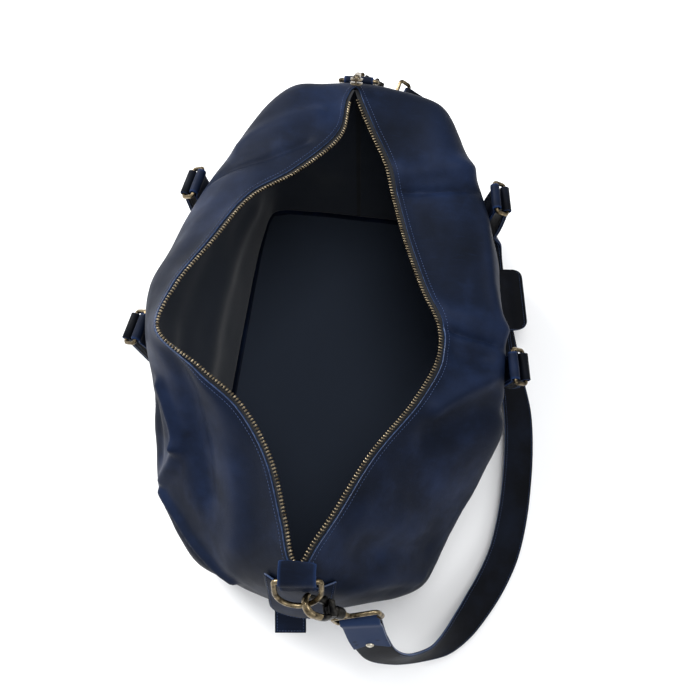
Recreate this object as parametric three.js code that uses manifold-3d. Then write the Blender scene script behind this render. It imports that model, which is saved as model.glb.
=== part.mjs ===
// A leather weekend bag standing open: two soft side panels sewn to a turned-up base, a metal zip
// round the mouth, two carrying handles and a clip-on shoulder strap.
// Millimetres, +Z up. The origin is the middle of the underside, and the zip runs along Y.
import * as THREE from "three";
import { mergeVertices } from "three/addons/utils/BufferGeometryUtils.js";
import Module from "manifold-3d";

const wasm = await Module();
wasm.setup();

// ---- driving dimensions ----
const LEATHER = 2.4; // thickness of a panel
const GAP = 0.4; // air left between touching pieces
const SOFT_GAP = 1.4; // air between curved layers, which are faceted
const BASE_RIM = 44; // height that the base leather turns up behind the side panels
const PANEL_FOOT = 20; // height of the side panels' lower edge
const BOARD = 3; // stiffener thickness
const LINING = 1.2; // lining thickness
const LINING_RISE = 0.6; // how far up the last stretch of leather the lining reaches
const TAPE_SHOWN = 8; // zip tape between the leather edge and the teeth
const TAPE_THICK = 0.9;
const CHAIN_WIDE = 4.2; // one row of teeth
const CHAIN_DEEP = 3.2;
const STRAP_WIDE = 44; // shoulder strap
const STRAP_THICK = 3.2;
const HANDLE_WIDE = 32;
const HANDLE_THICK = 5; // two layers sewn together
const HANDLE_DROP = 165; // from the ring bar to the middle of the grip
const ROLL_R = 6.4; // a leather loop rolled round a ring bar
const ROLL_BORE = 3.2;
const WIRE_R = 2.5; // ring and loop wire
const RIVET_R = 4.6;

// ---- the body's control stations, clockwise from the front seam ----
// Each has a base point [x, y], a fold point [x, y, z], a mouth point [x, y, z] on the zip teeth,
// and how far the wall between base and fold bellies out.
const STATIONS = [
  { base: [0, -264], fold: [0, -282, 200], mouth: [-1, -257, 267], belly: 27 },
  { base: [-92, -264], fold: [-66, -275, 165], mouth: [-8, -250, 270], belly: 14 },
  { base: [-144, -252], fold: [-140, -246, 118], mouth: [-20, -214, 278], belly: 12 },
  { base: [-150, -208], fold: [-188, -198, 104], mouth: [-41, -160, 290], belly: 12 },
  { base: [-150, -145], fold: [-200, -140, 134], mouth: [-76, -113, 300], belly: 12 },
  { base: [-150, -85], fold: [-205, -82, 172], mouth: [-122, -82, 306], belly: 10 },
  { base: [-150, -30], fold: [-212, -28, 213], mouth: [-174, -46, 310], belly: 6 },
  { base: [-150, 30], fold: [-217, 26, 228], mouth: [-166, 4, 308], belly: 4 },
  { base: [-150, 95], fold: [-202, 84, 229], mouth: [-138, 66, 299], belly: 6 },
  { base: [-150, 160], fold: [-183, 148, 231], mouth: [-108, 131, 286], belly: 8 },
  { base: [-148, 215], fold: [-154, 215, 233], mouth: [-62, 176, 275], belly: 8 },
  { base: [-138, 262], fold: [-98, 316, 236], mouth: [-20, 236, 264], belly: 2 },
  { base: [-72, 272], fold: [-56, 325, 236], mouth: [-17, 284, 262], belly: 2 },
  { base: [0, 272], fold: [-12, 330, 236], mouth: [-13, 306, 261], belly: 4 },
  { base: [72, 272], fold: [34, 328, 236], mouth: [-8, 290, 259], belly: 2 },
  { base: [138, 262], fold: [92, 312, 234], mouth: [10, 256, 251], belly: 2 },
  { base: [148, 215], fold: [128, 252, 230], mouth: [34, 216, 240], belly: 8 },
  { base: [150, 160], fold: [152, 200, 225], mouth: [46, 182, 232], belly: 10 },
  { base: [150, 95], fold: [175, 128, 222], mouth: [66, 124, 235], belly: 14 },
  { base: [150, 55], fold: [184, 64, 220], mouth: [92, 62, 240], belly: 14 },
  { base: [150, 15], fold: [193, 14, 217], mouth: [115, 18, 242], belly: 14 },
  { base: [150, -25], fold: [197, -26, 205], mouth: [118, -18, 244], belly: 12 },
  { base: [150, -80], fold: [206, -74, 172], mouth: [96, -74, 250], belly: 10 },
  { base: [150, -145], fold: [188, -128, 140], mouth: [56, -139, 262], belly: 10 },
  { base: [150, -208], fold: [162, -188, 112], mouth: [25, -207, 269], belly: 8 },
  { base: [144, -252], fold: [124, -244, 126], mouth: [10, -236, 270], belly: 12 },
  { base: [92, -264], fold: [58, -276, 170], mouth: [4, -251, 269], belly: 14 },
];
const SEAM = { front: 0, rear: 13 }; // stations on the two centre seams
const STEPS_PER_STATION = 2;

// ---- small helpers ----
const vec = (x, y, z) => new THREE.Vector3(x, y, z);
const degrees = (angle) => (angle * Math.PI) / 180;

// A closed body through a row of sections with equal point counts. Point k of a section faces
// point n-1-k, so thin or convex sections cap with one strip of quads.
function loft(sections, closed = false) {
  const points = sections.flat();
  const around = sections[0].length;
  const rows = sections.length;
  const faces = [];
  const at = (row, k) => (row % rows) * around + (k % around);
  const quad = (a, b, c, d) => faces.push(a, b, c, a, c, d);
  for (let row = 0; row < (closed ? rows : rows - 1); row++) {
    for (let k = 0; k < around; k++) {
      quad(at(row, k), at(row, k + 1), at(row + 1, k + 1), at(row + 1, k));
    }
  }
  if (!closed) {
    for (let k = 0; k < around / 2 - 1; k++) {
      quad(at(0, around - 1 - k), at(0, around - 2 - k), at(0, k + 1), at(0, k));
      quad(at(rows - 1, k), at(rows - 1, k + 1), at(rows - 1, around - 2 - k), at(rows - 1, around - 1 - k));
    }
  }
  const geometry = new THREE.BufferGeometry().setFromPoints(points);
  geometry.setIndex(faces);
  return facingOut(geometry);
}

// Turns a closed geometry's faces round if they point inwards.
function facingOut(geometry) {
  const place = geometry.getAttribute("position");
  const index = geometry.index.array;
  const [a, b, c] = [vec(), vec(), vec()];
  let volume = 0;
  for (let i = 0; i < index.length; i += 3) {
    a.fromBufferAttribute(place, index[i]);
    b.fromBufferAttribute(place, index[i + 1]);
    c.fromBufferAttribute(place, index[i + 2]);
    volume += a.dot(b.cross(c));
  }
  if (volume < 0) {
    for (let i = 0; i < index.length; i += 3) {
      [index[i], index[i + 1]] = [index[i + 1], index[i]];
    }
  }
  return geometry;
}

// A geometry moved into a frame. A left-handed frame turns its faces inside out, so they are
// turned back.
function inFrame(geometry, basis, centre) {
  const moved = geometry.clone().applyMatrix4(basis).translate(centre.x, centre.y, centre.z);
  if (basis.determinant() > 0) {
    return moved;
  }
  moved.deleteAttribute("normal");
  moved.deleteAttribute("uv");
  return facingOut(mergeVertices(moved, 1e-4));
}

// three.js geometry to a manifold solid, and back.
function solid(geometry) {
  const bare = (geometry.index ? geometry.toNonIndexed() : geometry).clone();
  bare.deleteAttribute("normal");
  bare.deleteAttribute("uv");
  const merged = mergeVertices(bare, 1e-4);
  return new wasm.Manifold(
    new wasm.Mesh({
      numProp: 3,
      vertProperties: merged.getAttribute("position").array,
      triVerts: new Uint32Array(merged.index.array),
    }),
  );
}
function geometryOf(body) {
  const mesh = body.getMesh();
  const geometry = new THREE.BufferGeometry();
  geometry.setAttribute("position", new THREE.BufferAttribute(mesh.vertProperties, 3));
  geometry.setIndex(new THREE.BufferAttribute(mesh.triVerts, 1));
  return geometry;
}

// A cut can leave crumbs: this keeps the main body.
const largestOf = (body) => body.decompose().sort((one, two) => two.volume() - one.volume())[0];

// A round section of a tube: a ring of points at a place, across two directions.
function circle(centre, first, second, radius, sides) {
  const points = [];
  for (let k = 0; k < sides; k++) {
    const turn = (2 * Math.PI * (k + 0.5)) / sides;
    const point = centre.clone().addScaledVector(first, radius * Math.cos(turn));
    points.push(point.addScaledVector(second, radius * Math.sin(turn)));
  }
  return points;
}

// A round wire along points that all lie in a plane with the given normal.
function wire(path, normal, radius, closed, sides = 8) {
  const sections = path.map((point, i) => {
    const before = path[closed ? (i + path.length - 1) % path.length : Math.max(i - 1, 0)];
    const after = path[closed ? (i + 1) % path.length : Math.min(i + 1, path.length - 1)];
    const along = after.clone().sub(before).normalize();
    return circle(point, normal, along.cross(normal).normalize(), radius, sides);
  });
  return loft(sections, closed);
}

// A flat strip: centre points, the direction of its width at each, its width and its thickness at each.
function strip(centres, widths, wide, thickAt) {
  const sections = centres.map((point, i) => {
    const before = centres[Math.max(i - 1, 0)];
    const after = centres[Math.min(i + 1, centres.length - 1)];
    const along = after.clone().sub(before).normalize();
    const across = widths[i].clone().addScaledVector(along, -widths[i].dot(along)).normalize();
    const up = along.clone().cross(across);
    const thick = thickAt(i);
    const corner = (side, face) =>
      point.clone().addScaledVector(across, (side * wide) / 2).addScaledVector(up, (face * thick) / 2);
    return [corner(-1, -1), corner(1, -1), corner(1, 1), corner(-1, 1)];
  });
  return loft(sections);
}

// ---- materials ----
const finish = (color, roughness, metalness = 0) => new THREE.MeshStandardMaterial({ color, roughness, metalness });
const navyLeather = finish(0x222b3d, 0.5);
const strapLeather = finish(0x161c28, 0.5);
const liningCloth = finish(0x10161f, 0.9);
const boardGrey = finish(0x3a3a3c, 0.9);
const zipTape = finish(0x101114, 0.9);
const brass = finish(0x9a8560, 0.35, 1);
const darkMetal = finish(0x2b2a2c, 0.4, 1);

const bag = new THREE.Group();
function piece(name, geometry, material, parent = bag) {
  const mesh = new THREE.Mesh(geometry, material);
  mesh.name = name;
  parent.add(mesh);
  return mesh;
}

// ---- the body surface ----
const bellyPoint = ({ base, fold, belly }) => {
  const middle = vec((base[0] + fold[0]) / 2, (base[1] + fold[1]) / 2, 0);
  const outward = middle.clone().normalize();
  return middle.addScaledVector(outward, belly).setZ(fold[2] / 2);
};
const ring = (points) => new THREE.CatmullRomCurve3(points, true, "centripetal");
const RINGS = [
  ring(STATIONS.map(({ base }) => vec(base[0], base[1], 0))),
  ring(STATIONS.map(bellyPoint)),
  ring(STATIONS.map(({ fold }) => vec(...fold))),
  ring(STATIONS.map(({ mouth }) => vec(...mouth))),
];
const columns = new Map();
// The curve up the bag at a station, which may be fractional: base, belly, fold, zip teeth.
function column(station) {
  const count = STATIONS.length;
  const place = (((station % count) + count) % count) / count;
  if (!columns.has(place)) {
    const curve = new THREE.CatmullRomCurve3(RINGS.map((one) => one.getPoint(place)), false, "centripetal");
    curve.arcLengthDivisions = 60;
    columns.set(place, curve);
  }
  return columns.get(place);
}
// A point on the outer surface at a distance up the column, and the outward direction there.
function onBody(station, distance) {
  const curve = column(station);
  return curve.getPointAt(THREE.MathUtils.clamp(distance / curve.getLength(), 0, 1));
}
function outward(station, distance) {
  const length = column(station).getLength();
  const low = THREE.MathUtils.clamp(distance, 3, length - 3);
  const fraction = low / length;
  const side = (one) => onBody(station + one, fraction * column(station + one).getLength());
  const up = onBody(station, low + 3).sub(onBody(station, low - 3));
  const along = side(0.15).sub(side(-0.15));
  return up.cross(along).normalize();
}
const inset = (station, distance, depth) =>
  onBody(station, distance).addScaledVector(outward(station, distance), -depth);
// The distance up a column at which it reaches a height.
function distanceAtHeight(station, height) {
  const length = column(station).getLength();
  let [low, high] = [0, length];
  for (let i = 0; i < 24; i++) {
    const middle = (low + high) / 2;
    if (onBody(station, middle).z < height) {
      low = middle;
    } else {
      high = middle;
    }
  }
  return low;
}
const steps = (from, to, count) => Array.from({ length: count + 1 }, (_, i) => from + ((to - from) * i) / count);

// A slab that follows the body between two depths under its surface, through a list of levels.
function shell(stations, levelsAt, outer, inner, closed = false) {
  const sections = stations.map((station) => {
    const levels = levelsAt(station);
    const out = levels.map((level) => inset(station, level, outer));
    const back = levels.map((level) => inset(station, level, inner)).reverse();
    return [...out, ...back];
  });
  return loft(sections, closed);
}
const SEAM_GAP = 0.012; // of a station, at each side of a centre seam
function half(from, to, count) {
  const stations = steps(from, to, count);
  stations[0] += SEAM_GAP;
  stations[stations.length - 1] -= SEAM_GAP;
  return stations;
}
const LEFT = half(SEAM.front, SEAM.rear, (SEAM.rear - SEAM.front) * STEPS_PER_STATION);
const RIGHT = half(SEAM.rear, STATIONS.length, (STATIONS.length - SEAM.rear) * STEPS_PER_STATION);
const AROUND = steps(0, STATIONS.length, STATIONS.length * STEPS_PER_STATION).slice(0, -1);

const lapLevels = (station) => steps(PANEL_FOOT, BASE_RIM, 2).map((height) => distanceAtHeight(station, height));
const wallLevels = (station) => {
  const high = column(station).getLength() - TAPE_SHOWN;
  return steps(distanceAtHeight(station, BASE_RIM), high, 7).slice(1);
};
const panelLevels = (station) => [...lapLevels(station), ...wallLevels(station)];
piece("left_side_panel", shell(LEFT, panelLevels, 0, LEATHER), navyLeather);
piece("right_side_panel", shell(RIGHT, panelLevels, 0, LEATHER), navyLeather);

// ---- base: a leather tray, a stiffener and the lining's floor ----
function plate(depth, low, high) {
  const outline = AROUND.map((station) => inset(station, 0, depth).setZ(0));
  const shape = new THREE.Shape(outline.map(({ x, y }) => new THREE.Vector2(x, y)));
  return new THREE.ExtrudeGeometry(shape, { depth: high - low, bevelEnabled: false }).translate(0, 0, low);
}
const rimOuter = LEATHER + SOFT_GAP;
const rimInner = rimOuter + LEATHER;
const rimLevels = (station) => [distanceAtHeight(station, 1), ...lapLevels(station)];
const rim = solid(shell(AROUND, rimLevels, rimOuter, rimInner, true));
const sole = solid(plate(rimOuter + 0.6, 0, LEATHER));
piece("base_panel", geometryOf(rim.add(sole)), navyLeather);
const boardLow = LEATHER + GAP;
const floorLow = boardLow + BOARD + GAP;
piece("base_board", plate(rimInner + 6, boardLow, boardLow + BOARD), boardGrey);
piece("lining_floor", plate(rimInner + 4, floorLow, floorLow + LINING), liningCloth);
const liningOuter = rimInner + SOFT_GAP;
// The lining stops one level short of the leather, and lower still where the mouth closes to a tip.
function liningLevels(station) {
  const levels = wallLevels(station);
  const [below, top] = levels.slice(-2);
  const away = Math.min(Math.abs(station - SEAM.rear), station, STATIONS.length - station);
  const share = Math.min(away / 2, 1) * LINING_RISE;
  levels[levels.length - 1] = below + (top - below) * (0.1 + share);
  return [distanceAtHeight(station, floorLow + LINING + 1), ...lapLevels(station), ...levels];
}
// Where the body folds tightly the lining is trimmed clear of the leather.
const leatherZone = solid(shell(AROUND, panelLevels, -LEATHER, LEATHER + GAP, true));
const trimmed = solid(shell(AROUND, liningLevels, liningOuter, liningOuter + LINING, true)).subtract(leatherZone);
piece("lining_wall", geometryOf(largestOf(trimmed)), liningCloth);

// ---- zip: tape, teeth, stop, slider and pull ----
const fromTeeth = (...backs) => (station) => backs.map((back) => column(station).getLength() - back);
const tapeLevels = fromTeeth(TAPE_SHOWN + 3, CHAIN_WIDE + GAP);
const chainLevels = fromTeeth(CHAIN_WIDE, 0);
const tapeOuter = LEATHER + GAP;
const chainOuter = tapeOuter - CHAIN_DEEP / 2 + TAPE_THICK / 2;
const TIP = { front: 0.4, rear: 0.9 }; // stations left free of teeth at each tip
const fromFront = (station) => Math.min(station, STATIONS.length - station);
const hasTeeth = (station) => fromFront(station) > TIP.front && Math.abs(station - SEAM.rear) > TIP.rear;
const zipSides = { left: LEFT.filter(hasTeeth), right: RIGHT.filter(hasTeeth) };
for (const [side, stations] of Object.entries(zipSides)) {
  piece(`zip_tape_${side}`, shell(stations, tapeLevels, tapeOuter, tapeOuter + TAPE_THICK), zipTape);
  piece(`zip_teeth_${side}`, shell(stations, chainLevels, chainOuter, chainOuter + CHAIN_DEEP), brass);
}

// ---- hardware shapes ----
// An outline in a frame's Y-Z plane, extruded along X and centred.
function acrossBar(shape, wide, detail = 6) {
  const geometry = new THREE.ExtrudeGeometry(shape, { depth: wide, bevelEnabled: false, curveSegments: detail });
  geometry.translate(0, 0, -wide / 2);
  // The shape's x becomes Y, its y becomes Z and the depth becomes X.
  geometry.applyMatrix4(new THREE.Matrix4().makeBasis(vec(0, 1, 0), vec(0, 0, 1), vec(1, 0, 0)));
  return geometry;
}
// A roll round a bar at a centre, with a flat tail that leaves at an angle from straight down.
function rolledLoop(centre, tailAngle, tailLong, tailThick) {
  const shape = new THREE.Shape();
  const lean = degrees(tailAngle);
  const spread = Math.asin(tailThick / 2 / ROLL_R);
  const down = -Math.PI / 2 + lean;
  shape.absarc(centre.x, centre.y, ROLL_R, down + spread, down - spread + 2 * Math.PI, false);
  const tip = (side) =>
    new THREE.Vector2(
      centre.x + Math.cos(down) * tailLong + side * Math.sin(down) * (tailThick / 2),
      centre.y + Math.sin(down) * tailLong - side * Math.cos(down) * (tailThick / 2),
    );
  const [near, far] = [tip(1), tip(-1)];
  shape.lineTo(near.x, near.y);
  shape.lineTo(far.x, far.y);
  shape.closePath();
  shape.holes.push(new THREE.Path().absarc(centre.x, centre.y, ROLL_BORE, 0, 2 * Math.PI, true));
  return shape;
}
// A body with a clear hole for a rivet's shank.
const SHANK_R = 1.6; // rivet shank
const RIVET_HEAD = 1.4; // rivet head's thickness
function drilled(body, place, direction, long = 30) {
  const drill = new THREE.CylinderGeometry(SHANK_R + GAP, SHANK_R + GAP, long, 10);
  drill.applyQuaternion(new THREE.Quaternion().setFromUnitVectors(vec(0, 1, 0), direction.clone().normalize()));
  return body.subtract(solid(drill.translate(place.x, place.y, place.z)));
}
// A headed rivet, its axis along a direction at a place.
function rivet(place, direction, long, headRadius = RIVET_R) {
  const profile = [
    [0, -long / 2 - RIVET_HEAD],
    [headRadius, -long / 2 - RIVET_HEAD],
    [headRadius, -long / 2],
    [SHANK_R, -long / 2],
    [SHANK_R, long / 2],
    [headRadius, long / 2],
    [headRadius, long / 2 + RIVET_HEAD],
    [0, long / 2 + RIVET_HEAD],
  ];
  const geometry = new THREE.LatheGeometry(profile.map(([x, y]) => new THREE.Vector2(x, y)), 10);
  geometry.applyQuaternion(new THREE.Quaternion().setFromUnitVectors(vec(0, 1, 0), direction.clone().normalize()));
  return geometry.translate(place.x, place.y, place.z);
}

// ---- handles: a leather loop on the bag, a ring, and the handle folded round the ring ----
const RING_REACH = 17; // between the ring's two bars
const RING_INSIDE = HANDLE_WIDE + 3;
const RING_DIP = 35; // degrees below level at which the ring leans out
const CHAPE_TAIL = 46;
const HANDLES = [
  { side: "left", rear: [-191, 176, 221], front: [-223, -16, 214], out: -1, lean: 2, skew: 0 },
  { side: "right", rear: [173, 201, 219], front: [208, -8, 208], out: 1, lean: 4, skew: 28 },
];
const handleGroups = {};
for (const { side, rear, front, out, lean, skew } of HANDLES) {
  const [far, near] = [vec(...rear), vec(...front)];
  // Y of the hinge frame runs along the line through both bars, X outward and Z up.
  const along = far.clone().sub(near).normalize();
  const outwards = along.clone().cross(vec(0, 0, out)).normalize();
  const up = outwards.clone().cross(along).multiplyScalar(out).normalize();
  const second = (bar) =>
    bar
      .clone()
      .addScaledVector(outwards, RING_REACH * Math.cos(degrees(RING_DIP)))
      .addScaledVector(up, -RING_REACH * Math.sin(degrees(RING_DIP)));
  const basis = new THREE.Matrix4().makeBasis(along, outwards, up);
  const placed = (geometry, centre) => inFrame(geometry, basis, centre);
  for (const [end, bar] of [["rear", far], ["front", near]]) {
    const tailLean = -6; // degrees, in towards the wall below the fold
    const loop = acrossBar(rolledLoop(new THREE.Vector2(0, 0), tailLean, CHAPE_TAIL, 4), HANDLE_WIDE, 5);
    const tailAt = vec(0, -CHAPE_TAIL * 0.75 * Math.sin(degrees(-tailLean)), -CHAPE_TAIL * 0.75);
    const chape = geometryOf(drilled(solid(loop), tailAt, vec(0, 1, 0)));
    piece(`${side}_${end}_chape`, placed(chape, bar), navyLeather);
    const chapeRivet = rivet(tailAt, vec(0, 1, 0), 4 + 2 * GAP + 1);
    piece(`${side}_${end}_chape_rivet`, placed(chapeRivet, bar), brass);
    const halfInside = RING_INSIDE / 2 + WIRE_R;
    const [dipY, dipZ] = [Math.cos(degrees(RING_DIP)), -Math.sin(degrees(RING_DIP))];
    const corner = 3;
    const outline = [];
    for (const [cx, cy, start] of [
      [halfInside - corner, RING_REACH - corner, 0],
      [-halfInside + corner, RING_REACH - corner, 90],
      [-halfInside + corner, corner, 180],
      [halfInside - corner, corner, 270],
    ]) {
      for (const turn of [0, 45, 90]) {
        const angle = degrees(start + turn);
        const [x, y] = [cx + corner * Math.cos(angle), cy + corner * Math.sin(angle)];
        outline.push(vec(x, y * dipY, y * dipZ));
      }
    }
    const ringNormal = vec(0, -dipZ, dipY);
    piece(`${side}_${end}_ring`, placed(wire(outline, ringNormal, WIRE_R, true, 6), bar), brass);
  }
  handleGroups[side] = { far, near, along, outwards, up, second, placed, lean, skew };
}
// The handle hangs in a U whose width turns from along the bag at its ends to across it at the grip.
for (const [side, frame] of Object.entries(handleGroups)) {
  const { far, near, along, outwards, up, second, lean, skew } = frame;
  const [rearEnd, frontEnd] = [second(far), second(near)];
  const span = rearEnd.distanceTo(frontEnd);
  const hang = outwards
    .clone()
    .multiplyScalar(Math.sin(degrees(lean)))
    .addScaledVector(up, -Math.cos(degrees(lean)));
  const face = outwards
    .clone()
    .multiplyScalar(Math.cos(degrees(lean)))
    .addScaledVector(up, Math.sin(degrees(lean)));
  const drop = HANDLE_DROP - RING_REACH * Math.sin(degrees(RING_DIP));
  const bend = 52; // radius of the U's two lower corners
  const centres = [];
  const widths = [];
  const start = ROLL_R + 0.2;
  const put = (across, down, turn) => {
    const slewed = across + skew * (down / drop) ** 2;
    centres.push(frontEnd.clone().addScaledVector(along, slewed).addScaledVector(hang, down));
    widths.push(along.clone().multiplyScalar(Math.cos(turn)).addScaledVector(face, Math.sin(turn)));
  };
  const straight = steps(start, drop - bend, 3);
  straight.forEach((down) => put(0, down, 0));
  const arc = steps(0, 90, 6).slice(1);
  for (const turn of arc) {
    const angle = degrees(turn);
    put(bend * (1 - Math.cos(angle)), drop - bend + bend * Math.sin(angle), angle);
  }
  put(span / 2, drop, degrees(90));
  for (const turn of [...arc].reverse()) {
    const angle = degrees(turn);
    put(span - bend * (1 - Math.cos(angle)), drop - bend + bend * Math.sin(angle), Math.PI - angle);
  }
  [...straight].reverse().forEach((down) => put(span, down, Math.PI));
  const band = solid(strip(centres, widths, HANDLE_WIDE, () => HANDLE_THICK));
  let handle = band;
  for (const end of [rearEnd, frontEnd]) {
    const roll = acrossBar(rolledLoop(new THREE.Vector2(0, 0), lean, ROLL_R + 3, HANDLE_THICK), HANDLE_WIDE, 5);
    handle = handle.add(solid(frame.placed(roll, end)));
  }
  for (const [end, place] of [["rear", rearEnd], ["front", frontEnd]]) {
    const at = place.clone().addScaledVector(hang, ROLL_R + 9);
    handle = drilled(handle, at, face);
    piece(`${side}_${end}_handle_rivet`, rivet(at, face, HANDLE_THICK + 2 * GAP), brass);
  }
  piece(`${side}_handle`, geometryOf(handle), strapLeather);
}

// A leather wrap folded round the right handle's grip, open towards the front.
const WRAP = { long: 90, wide: 58, thick: 2.4 };
{
  const { far, near, along, outwards, up, second, lean, skew } = handleGroups.right;
  const middle = second(far).add(second(near)).multiplyScalar(0.5);
  const tilt = degrees(lean);
  const hang = outwards.clone().multiplyScalar(Math.sin(tilt)).addScaledVector(up, -Math.cos(tilt));
  const face = outwards.clone().multiplyScalar(Math.cos(tilt)).addScaledVector(up, Math.sin(tilt));
  middle.addScaledVector(hang, HANDLE_DROP - RING_REACH * Math.sin(degrees(RING_DIP)));
  middle.addScaledVector(along, skew);
  const inner = HANDLE_THICK / 2 + GAP;
  const outer = inner + WRAP.thick;
  const shape = new THREE.Shape();
  const back = -HANDLE_WIDE / 2 - GAP;
  const lip = back + WRAP.wide;
  shape.moveTo(lip, outer);
  shape.lineTo(back, outer);
  shape.absarc(back, 0, outer, Math.PI / 2, (3 * Math.PI) / 2, false);
  shape.lineTo(lip, -outer);
  shape.lineTo(lip, -inner);
  shape.lineTo(back, -inner);
  shape.absarc(back, 0, inner, (3 * Math.PI) / 2, Math.PI / 2, true);
  shape.lineTo(lip, inner);
  const wrap = new THREE.ExtrudeGeometry(shape, { depth: WRAP.long, bevelEnabled: false, curveSegments: 8 });
  wrap.translate(0, 0, -WRAP.long / 2);
  wrap.applyMatrix4(new THREE.Matrix4().makeBasis(face, hang, face.clone().cross(hang)));
  wrap.translate(middle.x, middle.y, middle.z);
  piece("grip_wrap", wrap, strapLeather);
}

// ---- ends: patch, ring loop, D-ring, tab ----
const D_INSIDE = 41; // between the D-ring's sides
const D_REACH = 37; // from its bar to the middle of its bow
const D_WIRE = 2.75;
const PATCH = { top: 78, foot: 62, high: 96, thick: 3.2 };
const ENDS = {
  front: { seam: SEAM.front, bar: [0, -269, 259], turn: 7, dip: 52, out: -1 },
  rear: { seam: SEAM.rear, bar: [-12, 339, 232], turn: 3, dip: 60, out: 1 },
};
// The station near a seam whose surface at a level lies a sideways distance from the seam.
function stationBeside(seam, level, side) {
  const centre = onBody(seam, level);
  let [near, far] = [0, 1.6];
  for (let i = 0; i < 20; i++) {
    const middle = (near + far) / 2;
    const away = onBody(seam + Math.sign(side) * middle, level).sub(centre);
    if (Math.hypot(away.x, away.y) < Math.abs(side)) {
      near = middle;
    } else {
      far = middle;
    }
  }
  return seam + Math.sign(side) * near;
}
for (const [end, { seam, bar, turn, dip, out }] of Object.entries(ENDS)) {
  const barAt = vec(...bar);
  const across = vec(Math.cos(degrees(turn)), Math.sin(degrees(turn)), 0);
  const away = vec(0, 0, out).cross(across);
  const basis = new THREE.Matrix4().makeBasis(across, away, vec(0, 0, 1));
  const placed = (geometry) => inFrame(geometry, basis, barAt);
  const loopShape = rolledLoop(new THREE.Vector2(0, 0), 22, 20, 4);
  piece(`${end}_ring_loop`, placed(acrossBar(loopShape, D_INSIDE - 4, 6)), navyLeather);
  // The ring: a straight bar with a round bow, in a plane that leans out and down from the bar.
  const half = D_INSIDE / 2 + D_WIRE;
  const [lean, sink] = [Math.cos(degrees(dip)), -Math.sin(degrees(dip))];
  const bow = [];
  const side = D_REACH - half;
  for (const x of [-half, -half / 2, 0, half / 2, half]) bow.push([x, 0]);
  bow.push([half, side / 2]);
  for (let i = 0; i <= 12; i++) {
    const angle = (Math.PI * i) / 12;
    bow.push([half * Math.cos(angle), side + half * Math.sin(angle)]);
  }
  bow.push([-half, side / 2]);
  const path = bow.map(([x, reach]) => vec(x, reach * lean, reach * sink));
  piece(`${end}_d_ring`, placed(wire(path, vec(0, -sink, lean), D_WIRE, true, 8)), brass);
  // The patch follows the end of the bag from under the loop down over the seam.
  const top = distanceAtHeight(seam, bar[2] - 24);
  const levels = steps(top - PATCH.high, top, 6);
  const columnsAcross = steps(-1, 1, 6);
  const sections = columnsAcross.map((share) => {
    const point = (level, depth) => {
      const wide = THREE.MathUtils.mapLinear(level, levels[0], top, PATCH.foot, PATCH.top);
      const station = stationBeside(seam, level, (share * wide) / 2 || 0.001);
      return inset(station, level, -depth);
    };
    const outerPoints = levels.map((level) => point(level, GAP + 1 + PATCH.thick));
    const innerPoints = levels.map((level) => point(level, GAP + 1)).reverse();
    return [...outerPoints, ...innerPoints];
  });
  piece(`${end}_end_patch`, loft(sections), navyLeather);
}

// ---- front tab, under the patch ----
const TAB = { wide: 36, long: 27, thick: 3, at: [-12, -315, 108], sink: 22 };
{
  const tab = new THREE.BoxGeometry(TAB.wide, TAB.long, TAB.thick);
  tab.rotateX(degrees(TAB.sink));
  tab.rotateZ(degrees(7));
  piece("front_tab", tab.translate(...TAB.at), navyLeather);
}

// ---- snap hooks: a hook with a hinged gate, and a loop that turns in the hook's barrel ----
const HOOK = { eye: 10.5, wire: 3.1, shank: 23, barrelLow: 25, barrelHigh: 41, barrelR: 6.2, toLoop: 52 };
const LOOP_INSIDE = 47;
const LOOP_REACH = 17;
const GATE = { pin: [-6.5, 23], pinR: 1.5, thick: 4, slot: 4.8 };
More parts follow.
